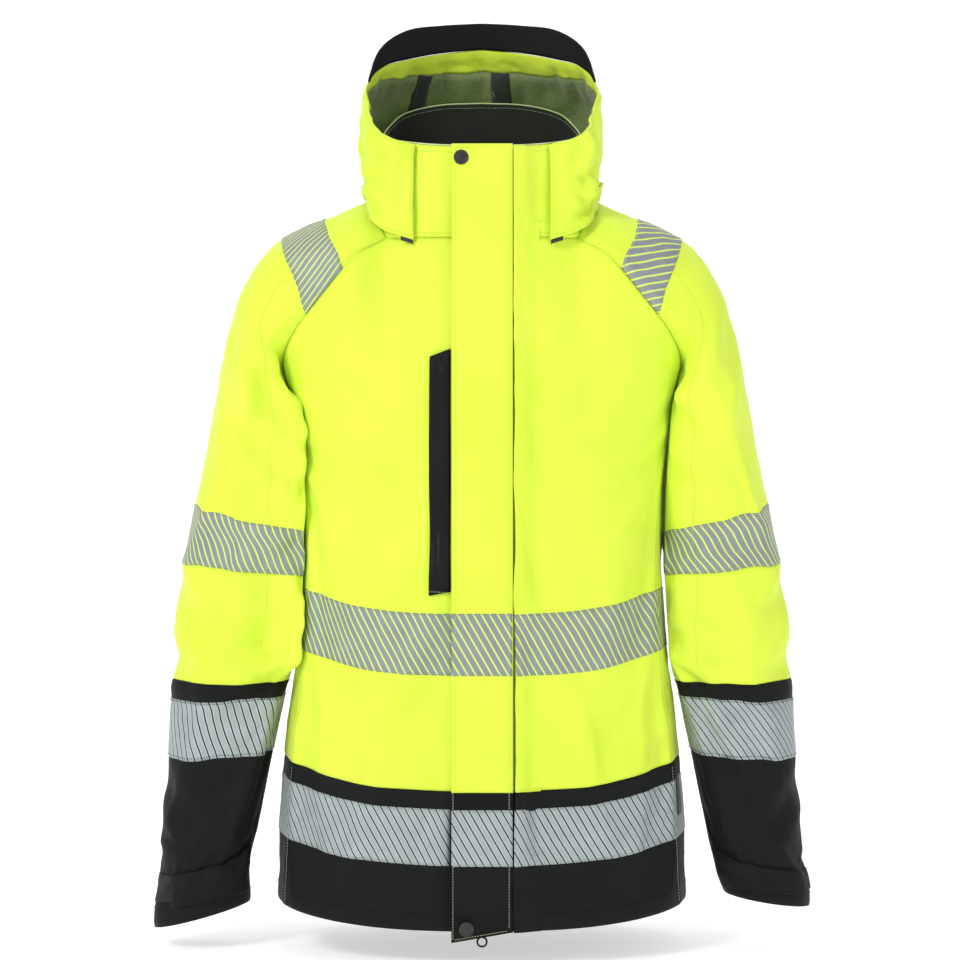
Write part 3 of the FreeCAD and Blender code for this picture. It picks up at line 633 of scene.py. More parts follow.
HOOD_INNER = soft_cloth("hood_lining", (0.25, 0.33, 0.14), (0.13, 0.19, 0.05), 420.0, 0.0002, 0.3, 0.7)
SEAM_TAPE = soft_cloth("seam_tape", (0.035, 0.040, 0.038), (0.020, 0.024, 0.022), 300.0, 0.0001)
BINDING = soft_cloth("edge_binding", (0.78, 0.88, 0.55), (0.50, 0.62, 0.22), 600.0, 0.0002)
PILE = soft_cloth("hook_and_loop", (0.010, 0.012, 0.010), (0.002, 0.0025, 0.002), 1400.0, 0.0008,
                  sheen=0.04)
THREAD = soft_cloth("yellow_thread", (0.66, 0.82, 0.06), (0.50, 0.64, 0.03), 900.0, 0.0001)
DARK_THREAD = soft_cloth("dark_thread", (0.09, 0.12, 0.07), (0.04, 0.05, 0.03), 900.0, 0.0001)
PALE_THREAD = soft_cloth("pale_thread", (0.55, 0.62, 0.40), (0.35, 0.42, 0.22), 900.0, 0.0001)
DARK_LABEL = soft_cloth("woven_tag", (0.05, 0.055, 0.05), (0.012, 0.014, 0.012), 1600.0, 0.0002)
METAL = hard("dark_enamel", (0.022, 0.022, 0.022), (0.16, 0.16, 0.15), 0.8, 0.35)
PLASTIC = hard("dark_plastic", (0.016, 0.020, 0.017), (0.05, 0.058, 0.05), 0.0, 0.42)


# Meshes.

def mesh_object(name, points, faces, materials, uvs=None, slots=None):
    """An object in the part's frame, from points in millimetres."""
    mesh = bpy.data.meshes.new(name)
    mesh.from_pydata(((np.asarray(points, float) - HOOK) * 0.001).tolist(), [],
                     [[int(corner) for corner in face] for face in faces])
    for material in materials:
        mesh.materials.append(material)
    if slots is not None:
        mesh.polygons.foreach_set("material_index", np.asarray(slots, dtype=np.int32))
    if uvs is not None:
        layer = mesh.uv_layers.new(name="UVMap")
        corners = np.empty(len(mesh.loops), dtype=np.int32)
        mesh.loops.foreach_get("vertex_index", corners)
        layer.data.foreach_set("uv", (np.asarray(uvs)[corners] * 0.001).ravel())
    mesh.polygons.foreach_set("use_smooth", [True] * len(mesh.polygons))
    obj = bpy.data.objects.new(name, mesh)
    bpy.context.collection.objects.link(obj)
    return obj


def grid_faces(nu, nv, turned):
    """Corners of the faces between neighbouring points of a grid."""
    index = np.arange(nu * nv).reshape(nu, nv)
    corners = [index[:-1, :-1], index[1:, :-1], index[1:, 1:], index[:-1, 1:]]
    return np.stack(corners[::-1] if turned else corners, -1).reshape(-1, 4)


def cloth_object(name, grid, outward, material, inner=None, thickness=1.0):
    """A cloth piece with its own thickness, its outer face on the grid."""
    nu, nv = grid.shape[:2]
    u_length = lengths(grid, 0)
    v_length = lengths(grid, 1)
    quarter = max(nu // 4, 1)
    to_right = 1 if (grid[quarter, :, 0] - grid[0, :, 0]).mean() >= 0 else -1
    upwards = 1 if (grid[:, -1, 2] - grid[:, 0, 2]).mean() >= 0 else -1
    uvs = np.stack([u_length * to_right, v_length * upwards], -1).reshape(-1, 2)
    faces = grid_faces(nu, nv, outward < 0)
    obj = mesh_object(name, grid.reshape(-1, 3), faces, [material, inner or material], uvs)
    solid = obj.modifiers.new("Thickness", "SOLIDIFY")
    solid.thickness = thickness * 0.001
    solid.offset = -1
    solid.material_offset = 1
    return obj


def stitches(name, lines, material, pitch=3.2, length=2.1, width=0.55):
    """Short rounded stitches along lines of points, all in one object."""
    points, faces = [], []
    side = [(0, 1), (1, 0), (0, -1), (-1, 0)]
    for line, normals in lines:
        at = np.insert(np.cumsum(np.linalg.norm(np.diff(line, axis=0), axis=-1)), 0, 0)
        for start in np.arange(pitch / 2, at[-1] - length, pitch):
            ends = [np.array([np.interp(start + k * length, at, line[:, c]) for c in range(3)])
                    for k in (0, 0.22, 0.78, 1)]
            which = int(np.searchsorted(at, start))
            normal = normals[min(which, len(normals) - 1)]
            across = np.cross(ends[3] - ends[0], normal)
            across = across / max(np.linalg.norm(across), 1e-6)
            base = len(points)
            for end, size, lift in zip(ends, (0.15, 0.5, 0.5, 0.15), (-0.1, 0.25, 0.25, -0.1)):
                for a, b in side:
                    points.append(end + across * (a * size * width) + normal * (b * size * width + lift))
            for ring in range(3):
                for corner in range(4):
                    low, other = base + ring * 4 + corner, base + ring * 4 + (corner + 1) % 4
                    faces.append((low, other, other + 4, low + 4))
    return mesh_object(name, points, faces, [material])


def evenly(surface, us, low, high, pitch):
    """Values of v from low to high that lie about a pitch apart on the surface."""
    fine = np.linspace(low, high, 160)
    grid = surface(us, fine)
    size = np.linalg.norm(np.diff(grid, axis=1), axis=-1).mean(axis=0)
    total = np.insert(np.cumsum(size), 0, 0)
    return np.interp(spaced(0, total[-1], total[-1], pitch), total, fine)


def sink_edges(grid, outward, depth, reach=2.2, edges="0123"):
    """Draws the named edges of a piece inwards, as a seam does."""
    far_u, far_v = lengths(grid, 0), lengths(grid, 1)
    distances = [far_u, far_u[-1:] - far_u, far_v, far_v[:, -1:] - far_v]
    sink = np.zeros(grid.shape[:2])
    for edge in edges:
        sink = np.maximum(sink, np.exp(-(distances[int(edge)] / reach) ** 2))
    return grid - normals_of(grid, outward) * (sink * depth)[..., None]


FINE = 4.0              # pitch of a finished cloth mesh, in millimetres
COARSE = 9.0            # pitch of the cloth that is simulated


def extent(cloth, axis):
    """Longest line of a cloth along one axis."""
    return float(lengths(cloth.points, axis).max())


def piece(name, cloth, u, v, material, inner=INNER, offset=0.0, thickness=1.0, sink=0.7, edges="0123",
          pitch=FINE):
    """A finished piece cut from a cloth between limits of u and v."""
    shares = [(limit[1] - limit[0]) / (line[-1] - line[0]) for limit, line in ((u, cloth.us), (v, cloth.vs))]
    us = spaced(*u, extent(cloth, 0) * shares[0], pitch)
    vs = spaced(*v, extent(cloth, 1) * shares[1], pitch)
    grid = cloth.grid(us, vs, offset(us) if callable(offset) else offset)
    if sink:
        grid = sink_edges(grid, cloth.outward, sink, edges=edges)
    return cloth_object(name, grid, cloth.outward, material, inner, thickness)


def line_on(cloth, u=None, v=None, lift=0.35):
    """A line over a cloth at one u or one v, with its normals; the other runs between two limits."""
    if isinstance(u, tuple):
        us = spaced(*u, extent(cloth, 0) * (u[1] - u[0]) / (cloth.us[-1] - cloth.us[0]), FINE)
        step = (cloth.vs[-1] - cloth.vs[0]) * 1e-3
        grid = cloth.grid(us, [v - step, v, v + step])
        normals = normals_of(grid, cloth.outward)[:, 1]
        return grid[:, 1] + normals * lift, normals
    vs = spaced(*v, extent(cloth, 1) * (v[1] - v[0]) / (cloth.vs[-1] - cloth.vs[0]), FINE)
    step = (cloth.us[-1] - cloth.us[0]) * 1e-3
    grid = cloth.grid([u - step, u, u + step], vs)
    normals = normals_of(grid, cloth.outward)[1]
    return grid[1] + normals * lift, normals


# Cloths.

def key_at(x, level):
    """The key at which the front is x from the middle, at one level."""
    keys = np.linspace(0, 30, 600)
    return float(np.interp(x, front_grid(keys, [level])[:, 0, 0], keys))


FRONT_START, BAND_START = key_at(FRONT_EDGE_X, -400), key_at(FLAP_RIGHT - 2, -400)
ROOT_END = 59.0        # where the cloth of the flap's root meets the front


def root_rise(x):
    """How far the flap's root lifts the cloth at a distance from the middle."""
    return 8.6 * smooth((ROOT_END - x) / (ROOT_END - FLAP_RIGHT))


BODY_FOLDS = [
    ((-196, -30, -215), (-120, -100, -265), 13, 4.2),
    ((-190, -50, -250), (-105, -108, -330), 16, 3.4),
    ((196, -30, -215), (125, -100, -262), 13, 4.2),
    ((190, -55, -255), (110, -108, -345), 16, 3.1),
    ((-150, -95, -170), (-90, -108, -215), 15, 2.5),
    ((150, -95, -175), (95, -108, -225), 15, 2.5),
    ((-188, -40, -520), (-110, -112, -575), 18, 2.8),
    ((188, -40, -510), (120, -110, -570), 18, 2.8),
    ((-60, -112, -480), (-70, -118, -590), 20, 2.0),
    ((75, -112, -500), (85, -118, -600), 20, 2.0),
    ((196, 40, -230), (120, 108, -300), 16, 4.2),
    ((-196, 40, -230), (-120, 108, -300), 16, 4.2),
    ((60, 112, -420), (-60, 112, -440), 20, 2.8),
    ((90, 110, -500), (150, 90, -560), 18, 2.8),
    ((-90, 110, -500), (-150, 90, -560), 18, 2.8),
]

# Folds that both sleeves share, then those of each; all are given on the wearer's left.
SLEEVE_FOLDS = [
    ((198, 6, -225), (198, 6, -425), 22, -6.5),
    ((205, -20, -280), (250, -70, -335), 13, 4.5),
    ((200, -20, -345), (240, -66, -400), 12, 4.5),
    ((200, -20, -455), (265, -62, -478), 11, 6.8),
    ((205, -30, -490), (258, -60, -540), 12, 4.5),
    ((330, 10, -395), (300, -50, -440), 14, 4.5),
    ((332, 20, -470), (300, -50, -500), 14, 3.9),
    ((240, -55, -590), (290, -62, -640), 14, 3.3),
    ((330, -10, -600), (290, -62, -660), 14, 3.0),
    ((320, 50, -430), (225, 60, -455), 14, 4.5),
    ((300, 70, -300), (225, 75, -330), 14, 3.8),
    ((205, 50, -215), (260, 85, -260), 12, 6.0),
    ((262, -50, -130), (248, -70, -185), 15, 3.6),
]
OWN_SLEEVE_FOLDS = {
    "right": [
        ((232, -78, -165), (216, -66, -250), 10, 9.0),
        ((216, -66, -245), (203, -30, -285), 9, 9.0),
        ((240, -78, -240), (206, -40, -318), 10, 9.8),
        ((262, -74, -215), (244, -76, -290), 15, 4.5),
        ((214, -52, -345), (204, -25, -420), 10, 6.8),
        ((220, -55, -395), (232, -55, -475), 13, 6.8),
        ((203, -15, -430), (240, -55, -455), 9, 6.0),
    ],
    "left": [
        ((207, -40, -200), (226, -72, -262), 9, 8.2),
        ((226, -72, -258), (205, -40, -318), 9, 8.2),
        ((250, -78, -185), (228, -74, -238), 14, 5.2),
        ((204, -30, -262), (222, -60, -300), 8, 6.0),
        ((212, -50, -360), (206, -30, -430), 11, 6.0),
        ((240, -62, -400), (262, -60, -470), 14, 4.5),
    ],
}

HOOD_FOLDS = [
    ((123, -72, 34), (127, 10, 30), 40, 11.0, 0.0),
    ((-123, -72, 4), (-127, 10, 0), 36, 5.0, 0.0),
    ((-112, -80, -25), (-122, -40, 30), 8, 4.5),
    ((-100, -97, -5), (-121, -60, 45), 8, 4.0),
    ((-123, -25, 5), (-110, -10, 110), 9, 4.0),
    ((-90, -102, 25), (-118, -55, 62), 7, 3.5),
    ((-98, -100, -30), (-119, -68, -8), 7, 4.5),
    ((-84, -108, 34), (-106, -88, 12), 6, 3.5),
    ((-119, 30, 10), (-124, 20, 80), 10, 3.5),
    ((112, -80, -25), (122, -40, 35), 8, 4.5),
    ((102, -97, -2), (120, -60, 40), 8, 4.0),
    ((122, -25, 5), (112, -10, 105), 9, 4.0),
    ((92, -102, 20), (117, -55, 58), 7, 3.5),
    ((96, -103, -34), (118, -72, -14), 7, 4.5),
    ((86, -107, 6), (110, -90, -16), 6, 3.5),
    ((119, 30, 10), (124, 20, 80), 10, 3.5),
    ((-70, 108, 40), (70, 108, 48), 14, 4.0),
    ((-90, 90, 110), (-20, 112, 100), 12, 3.0),
    ((90, 90, 112), (25, 112, 92), 12, 3.0),
]


def turned(folds):
    """The same folds on the other side of the coat."""
    return [((-a[0], a[1], a[2]), (-b[0], b[1], b[2]), *shape) for a, b, *shape in folds]


SLACK = {"body": 0.004, "sleeve": 0.012, "hood": 0.02}
LEAN = {"right": 25.0, "left": 0.0}
fronts, sleeves = {}, {}
for side in SIDES:
    flip = side == "right"
    fronts[side] = Cloth(side + "_front", front_grid, spaced(FRONT_START, 90, 255, COARSE),
                         evenly(front_grid, [20, 50, 80], HEM, TOP, COARSE), 1, flip, BODY_FOLDS,
                         SLACK["body"])
    own_folds = SLEEVE_FOLDS + OWN_SLEEVE_FOLDS[side]
    sleeves[side] = Cloth(side + "_sleeve", SLEEVE[side], spaced(0, 1, 500, COARSE),
                          evenly(SLEEVE[side], [0.2, 0.5, 0.8], 0, CUFF_END, COARSE), -1, flip,
                          turned(own_folds) if flip else own_folds, SLACK["sleeve"], LEAN[side],
                          (48.0, 1.0))
rear = Cloth("back", back_grid, spaced(-90, 90, 500, COARSE),
             evenly(back_grid, [-50, 0, 50], HEM, TOP, COARSE), -1, False, BODY_FOLDS, SLACK["body"])
hood = Cloth("hood", hood_grid, spaced(38, 322, 600, 8), evenly(hood_grid, [60, 180, 300], 0, 2, 8), 1,
             False, HOOD_FOLDS, SLACK["hood"], None, (26.0, 2.2))
collar = Cloth("collar", collar_grid, spaced(COLLAR_START, 360 - COLLAR_START, 560, COARSE),
               spaced(0, 1, 100, COARSE), 1, False, (), 0.004)
peak = Cloth("brim", brim_grid, spaced(*BRIM_ARC, 330, 8), spaced(0, 1, 50, 8), 1, crumple=(90.0, 0.5))
simulate([*fronts.values(), *sleeves.values(), rear, hood, collar])


# Lines where cloth would bend with the joints, as pairs of points in metres.

def placed(point):
    """A point in metres about the hang loop."""
    return tuple((np.array(point, float) - HOOK) * 0.001)


def shoulder_bend(side):
    """The line that the cloth of a shoulder would bend along."""
    sign = -1 if side == "right" else 1
    return placed((sign * 203, 5, -196)), placed((sign * 295, 5, -288))


def elbow_bend(side):
    """The line that the cloth of an elbow would bend along."""
    sign = -1 if side == "right" else 1
    return placed((sign * 262, 6, -398)), placed((sign * 262, 6, -478))


HOOD_BEND = (placed((0, 0, 0)), placed((0, 0, 42)))


def hung(obj, body, *nodes):
    """A piece that rides on a body and stands for some of the part's nodes."""
    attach(obj, body)
    if nodes:
        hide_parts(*nodes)
    return obj


def bent(obj, bodies, bend, *nodes):
    """A piece baked into place that stands for some of the part's nodes."""
    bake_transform(obj)
    if nodes:
        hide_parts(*nodes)
    return obj


# The body.

TAPE = dict(thickness=0.45, sink=0.4)


def tape_edges(cloth, u, level, margin=1.6):
    """Stitch lines just inside the lower and upper edges of a reflective tape."""
    return [line_on(cloth, u=u, v=edge, lift=1.0) for edge in (level[0] + margin, level[1] - margin)]


def make_fronts():
    """Both front panels with their hems, tapes and stitches."""
    lines = []
    for side in SIDES:
        cloth = fronts[side]
        u = (FRONT_START, 90)
        hung(piece(side + "_front", cloth, u, (COLOUR_BREAK, TOP), YELLOW), "coat", side + "_front_panel")
        hung(piece(side + "_hem", cloth, u, (HEM, COLOUR_BREAK), BLACK), "coat", side + "_front_hem")
        for name, level, material, node in (("body_tape", BODY_BAND, TAPE_ON_YELLOW, "body_band"),
                                            ("hem_tape", HEM_BAND, TAPE_ON_BLACK, "hem_band")):
            middle = sum(level) / 2
            band = (BAND_START if side == "right" else key_at(FLAP_RIGHT + 0.8, middle), 90)

            def lift(keys):
                """The band's height above the front, which grows where it climbs the flap's root."""
                if side == "right":
                    return 0.6
                return (0.6 + root_rise(front_grid(keys, [middle])[:, 0, 0]))[:, None, None]

            hung(piece(f"{side}_{name}", cloth, band, level, material, offset=lift, **TAPE), "coat", node)
            stitched = (band[0] if side == "right" else key_at(ROOT_END, middle), 90)
            lines += tape_edges(cloth, stitched, level)
    hung(stitches("front_tape_stitches", lines, PALE_THREAD), "coat")
    seams = [line_on(fronts[side], u=(FRONT_START, 89.5), v=HEM + 17) for side in SIDES]
    hung(stitches("hem_stitches", seams, BLACK), "coat")
    seams = [line_on(fronts[side], u=87.2, v=(HEM + 4, COLOUR_BREAK - 4), lift=1.2) for side in SIDES]
    hung(stitches("side_stitches", seams, PALE_THREAD), "coat")
    seams = [line_on(fronts[side], u=(16, 89), v=-92.5) for side in SIDES]
    seams += [line_on(fronts[side], u=88.6, v=(COLOUR_BREAK + 4, -110)) for side in SIDES]
    hung(stitches("front_seam_stitches", seams, THREAD), "coat")


def make_back():
    """The back with its hem, tapes, stitches and side tag."""
    hung(piece("back", rear, (-90, 90), (COLOUR_BREAK, TOP), YELLOW), "coat", "back_panel")
    hung(piece("back_hem_cloth", rear, (-90, 90), (HEM, COLOUR_BREAK), BLACK), "coat", "back_hem")
    lines = []
    for name, level, material, node in (("back_body_tape", BODY_BAND, TAPE_ON_YELLOW, "body_band"),
                                        ("back_hem_tape", HEM_BAND, TAPE_ON_BLACK, "hem_band")):
        hung(piece(name, rear, (-90, 90), level, material, offset=0.55, **TAPE), "coat", node)
        lines += tape_edges(rear, (-90, 90), level)
    hung(stitches("back_tape_stitches", lines, PALE_THREAD), "coat")
    hung(stitches("back_hem_stitches", [line_on(rear, u=(-90, 90), v=HEM + 17)], DARK_THREAD), "coat")
    seams = [line_on(rear, u=sign * 88.4, v=(COLOUR_BREAK + 4, -110)) for sign in (-1, 1)]
    hung(stitches("back_seam_stitches", seams, THREAD), "coat")
    label = piece("side_tag", rear, (84, 89), (-640, -603), DARK_LABEL, offset=1.9, thickness=0.7, sink=0)
    hung(label, "coat", "side_label")


# The sleeves.

def make_sleeves():
    """Both sleeves with their tapes, seams and tabs."""
    for side in SIDES:
        cloth, shoulder, elbow = sleeves[side], shoulder_bend(side), elbow_bend(side)
        arm, forearm = side + "_upper_arm", side + "_forearm"
        bent(piece(side + "_raglan_sleeve", cloth, (0, 1), (0, BAND_BOTTOM), YELLOW), ("coat", arm),
             shoulder, side + "_shoulder_cap", side + "_upper_sleeve")
        bent(piece(side + "_elbow", cloth, (0, 1), (BAND_BOTTOM, SLEEVE_BREAK), YELLOW, edges="013"),
             (arm, forearm), elbow, side + "_elbow_piece")
        hung(piece(side + "_black_sleeve", cloth, (0, 1), (SLEEVE_BREAK, CUFF_END), BLACK), forearm,
             side + "_lower_sleeve", side + "_cuff_hem")
        arm_band, wrist_band = (BAND_TOP, BAND_BOTTOM), (WRIST_BAND_TOP, WRIST_BAND_BOTTOM)
        hung(piece(side + "_shoulder_tape", cloth, (0, 1), SHOULDER_BAND, SHOULDER_TAPE[side], offset=0.55,
                   **TAPE), "coat", "shoulder_tapes")
        bent(piece(side + "_arm_tape", cloth, (0, 1), arm_band, TAPE_ON_YELLOW, offset=0.55, **TAPE),
             ("coat", arm), shoulder, side + "_upper_sleeve_band")
        hung(piece(side + "_wrist_tape", cloth, (0, 1), wrist_band, TAPE_ON_BLACK, offset=0.55, **TAPE),
             forearm, side + "_wrist_band")
        upper = tape_edges(cloth, (0, 1), arm_band, 0.04)
        bent(stitches(side + "_arm_tape_stitches", upper, PALE_THREAD), ("coat", arm), shoulder)
        round_shoulder = tape_edges(cloth, (0.01, 0.99), SHOULDER_BAND, 0.05)
        hung(stitches(side + "_shoulder_tape_stitches", round_shoulder, PALE_THREAD), "coat")
        for end, u in (("front", 0.0015), ("rear", 0.9985)):
            line, _ = line_on(cloth, u=u, v=(0.02, 4.96), lift=-2.2)
            hung(tube(f"{side}_{end}_seam_allowance", line, 1.7, THREAD), "coat")
        raglan = [line_on(cloth, u=u, v=(0.05, 4.9)) for u in (0.016, 0.984)]
        hung(stitches(side + "_raglan_stitches", raglan, THREAD), "coat")
        seam = [line_on(cloth, u=0.19, v=(1.6, BAND_BOTTOM))]
        bent(stitches(side + "_sleeve_stitches", seam, THREAD), ("coat", arm), shoulder)
        seam = [line_on(cloth, u=0.19, v=(BAND_BOTTOM, SLEEVE_BREAK))]
        bent(stitches(side + "_elbow_stitches", seam, THREAD), (arm, forearm), elbow)
        wrist = tape_edges(cloth, (0, 1), wrist_band, 0.04)
        wrist += [line_on(cloth, u=(0, 1), v=v) for v in (CUFF_END - 0.3, SLEEVE_BREAK + 0.15)]
        hung(stitches(side + "_wrist_stitches", wrist, BLACK), forearm)
        make_tab(side, cloth)


def make_tab(side, cloth):
    """The cuff tab with its hook patch, and the loop patch that it closes on."""
    end = TAB_END[side]

    def shaped(u, offset, low, high):
        """A patch over the cuff whose lower and upper limits may change along it."""
        us, share = np.linspace(*u, 26), np.linspace(0, 1, 13)
        rows = []
        for at in us:
            along = (at - TAB_ROOT) / (end - TAB_ROOT)
            heights = low(along) + (high - low(along)) * share
            rows.append(cloth.grid([at - 0.002, at, at + 0.002], heights, offset)[1])
        return np.array(rows)

    def upper_edge(along):
        return CUFF_TOP + 0.1 - TAB_SPREAD * (1 - along) ** 1.6

    strap = shaped((TAB_ROOT, end), 3.1, upper_edge, CUFF_TOP + 0.7)
    tab = cloth_object(side + "_cuff_strap", strap, cloth.outward, BLACK, BLACK, 1.2)
    hung(tab, side + "_tab", side + "_cuff_tab")

    def patch_edge(_):
        return CUFF_TOP + 0.14

    patches = (("_hooks", (end - 0.12, end - 0.02), 1.7, 0.5, "_tab", "_hook_patch"),
               ("_loops", (end - 0.11, end + 0.13), 1.1, 0.8, "_forearm", "_loop_patch"))
    for name, u, offset, thickness, body, node in patches:
        grid = shaped(u, offset, patch_edge, CUFF_TOP + 0.6)
        hung(cloth_object(side + name, grid, cloth.outward, PILE, PILE, thickness), side + body, side + node)
    line, normals = line_on(cloth, u=(TAB_ROOT + 0.01, end - 0.02), v=CUFF_TOP + 0.64)
    hung(stitches(side + "_tab_stitches", [(line + normals * 2.9, normals)], BLACK), side + "_tab")


# The collar and hood.

def tube(name, line, radius, material):
    """A round cord of binding along a line of points."""
    points, faces, around_count = [], [], 8
    tangents = unit(np.gradient(line, axis=0))
    for point, tangent in zip(line, tangents):
        across = unit(np.cross(tangent, (0, 0, 1)))
        up = np.cross(across, tangent)
        for k in range(around_count):
            angle = 2 * math.pi * k / around_count
            points.append(point + (across * math.cos(angle) + up * math.sin(angle)) * radius)
    for i in range(len(line) - 1):
        for k in range(around_count):
            a, b = i * around_count + k, i * around_count + (k + 1) % around_count
            faces.append((a, b, b + around_count, a + around_count))
    faces.append(tuple(range(around_count))[::-1])
    faces.append(tuple(range((len(line) - 1) * around_count, len(line) * around_count)))
    return mesh_object(name, points, faces, [material])


def make_collar():
    """The collar with its lining, piping and hanging loop."""
    ring = (COLLAR_START, 360 - COLLAR_START)
    hung(piece("collar", collar, ring, (0, 1), YELLOW), "coat", "collar_outer")
    lining = piece("collar_inside", collar, ring, (0.0, 1), COLLAR_INNER, COLLAR_INNER, -1.7, 0.8, 0)
    hung(lining, "coat", "collar_lining")
    angles = spaced(*ring, 560, 3)
    top = collar.grid(angles, [0.97, 1.0, 1.012], -1.2)[:, 1] + np.array([0, 0, 1.0])
    hung(tube("collar_piping", top, 0.65, BINDING), "coat", "collar_binding")
    lines = [line_on(collar, u=ring, v=v) for v in (0.93, 0.05)]
    hung(stitches("collar_stitches", lines, THREAD), "coat")
    line, normals = line_on(collar, u=ring, v=0.965)
    hung(stitches("collar_inner_stitches", [(line - normals * 3.0, -normals)], PALE_THREAD), "coat")
    angles = np.linspace(0, math.pi, 36)
    depths, radius = np.linspace(48, 56, 6), 19.4
    arch = [[(radius * math.cos(a), y, -8 + radius * math.sin(a)) for y in depths] for a in angles]
    hung(cloth_object("hanger_loop", np.array(arch), 1, SEAM_TAPE, SEAM_TAPE, 1.0), "coat", "hang_loop")


def make_hood():
    """The hood with its lining, facing, zip ends and brim."""
    bodies, ring = ("coat", "hood"), (38, 322)
    bent(piece("hood_shell", hood, ring, (0, 2), CRUMPLED, YELLOW, edges="23"), bodies, HOOD_BEND,
         "hood_neck", "hood_crown")
    inner = dict(pitch=5.0, sink=0.0)
    lining = piece("hood_lining_cloth", hood, (48, 312), (1.05, FACING_FOOT), HOOD_INNER, HOOD_INNER, -2.4,
                   0.7, **inner)
    bent(lining, bodies, HOOD_BEND, "hood_lining")
    angles, heights = spaced(*LINING_ARC, 560, FINE), np.linspace(FACING_FOOT, 2.0, 9)
    tuck = -2.4 + 1.6 * smooth((heights - 1.96) / 0.04)
    brow = hood.grid(angles, heights, tuck[None, :, None])
    facing = cloth_object("brow", brow, 1, CRUMPLED, CRUMPLED, 0.9)
    bent(facing, bodies, HOOD_BEND, "brow_facing")
    for number, low in enumerate((166, 207)):
        tape = piece(f"hood_tape_{number}", hood, (low, low + 9), (1.1, FACING_FOOT), SEAM_TAPE, SEAM_TAPE,
                     -3.3, 0.3, **inner)
        bent(tape, bodies, HOOD_BEND, "hood_seam_tapes")
    for side, angle in (("left", 38.5), ("right", 315.5)):
        end = piece("hood_zip_" + side, hood, (angle, angle + 6), (-0.09, 0.02), SEAM_TAPE, SEAM_TAPE, -2.2,
                    1.2, **inner)
        hung(end, "coat", "hood_zip_ends")
    hung(piece("peak", peak, BRIM_ARC, (0, 1), BLACK, BLACK, 0, 2.2, 0.5), "hood", "brim")
    rows = [line_on(peak, u=(BRIM_ARC[0] + 2, BRIM_ARC[1] - 2), v=v) for v in (0.06, 0.9)]
    hung(stitches("peak_stitches", rows, BLACK), "hood")
    edges = [line_on(hood, u=u, v=(0.05, 1.95)) for u in (39.2, 320.8)]
    edges += [line_on(hood, u=(40, 320), v=v) for v in (0.08, 1.93)]
    bent(stitches("hood_stitches", edges, THREAD), bodies, HOOD_BEND)


# The front closure.

def plane_piece(name, x, z, y, material, thickness, inner=None, pitch=4.0, wave=0.0, foot=None, sink=0.0):
    """A flat piece in the front plane, with a slight wave, its outer face at depth y."""
    xs = spaced(*x, x[1] - x[0], min(pitch, (x[1] - x[0]) / 4))
    share = spaced(0, 1, z[1] - z[0], pitch)
    grid = np.empty((len(xs), len(share), 3))
    for i, across in enumerate(xs):
        low = foot(across) if foot else z[0]
        heights = low + (z[1] - low) * share
        long_wave = np.sin(heights / 31 + across / 40)
        short_wave = np.sin(heights / 13.0 + 1.3 + across / 25)
        ripple = wave * (long_wave + 0.6 * short_wave)
        depth = y + ripple * smooth((x[1] - across) / (x[1] - x[0]))
        grid[i] = np.stack([np.full(len(share), across), depth, heights], -1)
    grid = front_plane(grid)
    if sink:
        grid = sink_edges(grid, 1, sink)
    return cloth_object(name, grid, 1, material, inner or material, thickness)


def flap_foot_at(x):
    """Height of the flap's slanted lower edge at a distance from the middle."""
    return FLAP_FOOT_LEFT + (FLAP_FOOT_RIGHT - FLAP_FOOT_LEFT) * (x - FLAP_LEFT) / (FLAP_RIGHT - FLAP_LEFT)


def band_heights(level):
    """Heights of a reflective band where it crosses the front closure."""
    return [front_grid([3.9, 4.0], [at - 0.5, at])[1, 1, 2] - NECK_FRONT[2] for at in level]


def turned_profile(name, profile, centres, material, segments=32):
    """Round pieces that face forwards, from a profile of radius and depth."""
    points, faces = [], []
    for x, z in centres:
        base = len(points)
        for radius, depth in profile:
            for k in range(segments):
                angle = 2 * math.pi * k / segments
                points.append((x + radius * math.cos(angle), depth, z + radius * math.sin(angle)))
        for ring in range(len(profile) - 1):
            for k in range(segments):
                a, b = base + ring * segments + k, base + ring * segments + (k + 1) % segments
                faces.append((a, b, b + segments, a + segments))
        faces.append(tuple(base + k for k in range(segments))[::-1])
        last = base + (len(profile) - 1) * segments
        faces.append(tuple(last + k for k in range(segments)))
    return mesh_object(name, front_plane(points), faces, [material])


def upright(x, low, high, y, lift=0.3):
    """A line up the flap for stitches."""
    heights = spaced(low, high, high - low, 8)
    line = front_plane([(x, y - lift, height) for height in heights])
    return line, np.tile(np.array([0, -1.0, 0]), (len(line), 1))


def level_line(z, x, y, slope=0.0, lift=0.3):
    """A line across the flap for stitches."""
    across = spaced(*x, x[1] - x[0], 6)
    line = front_plane([(at, y - lift, z + slope * (at - x[0])) for at in across])
    return line, np.tile(np.array([0, -1.0, 0]), (len(line), 1))


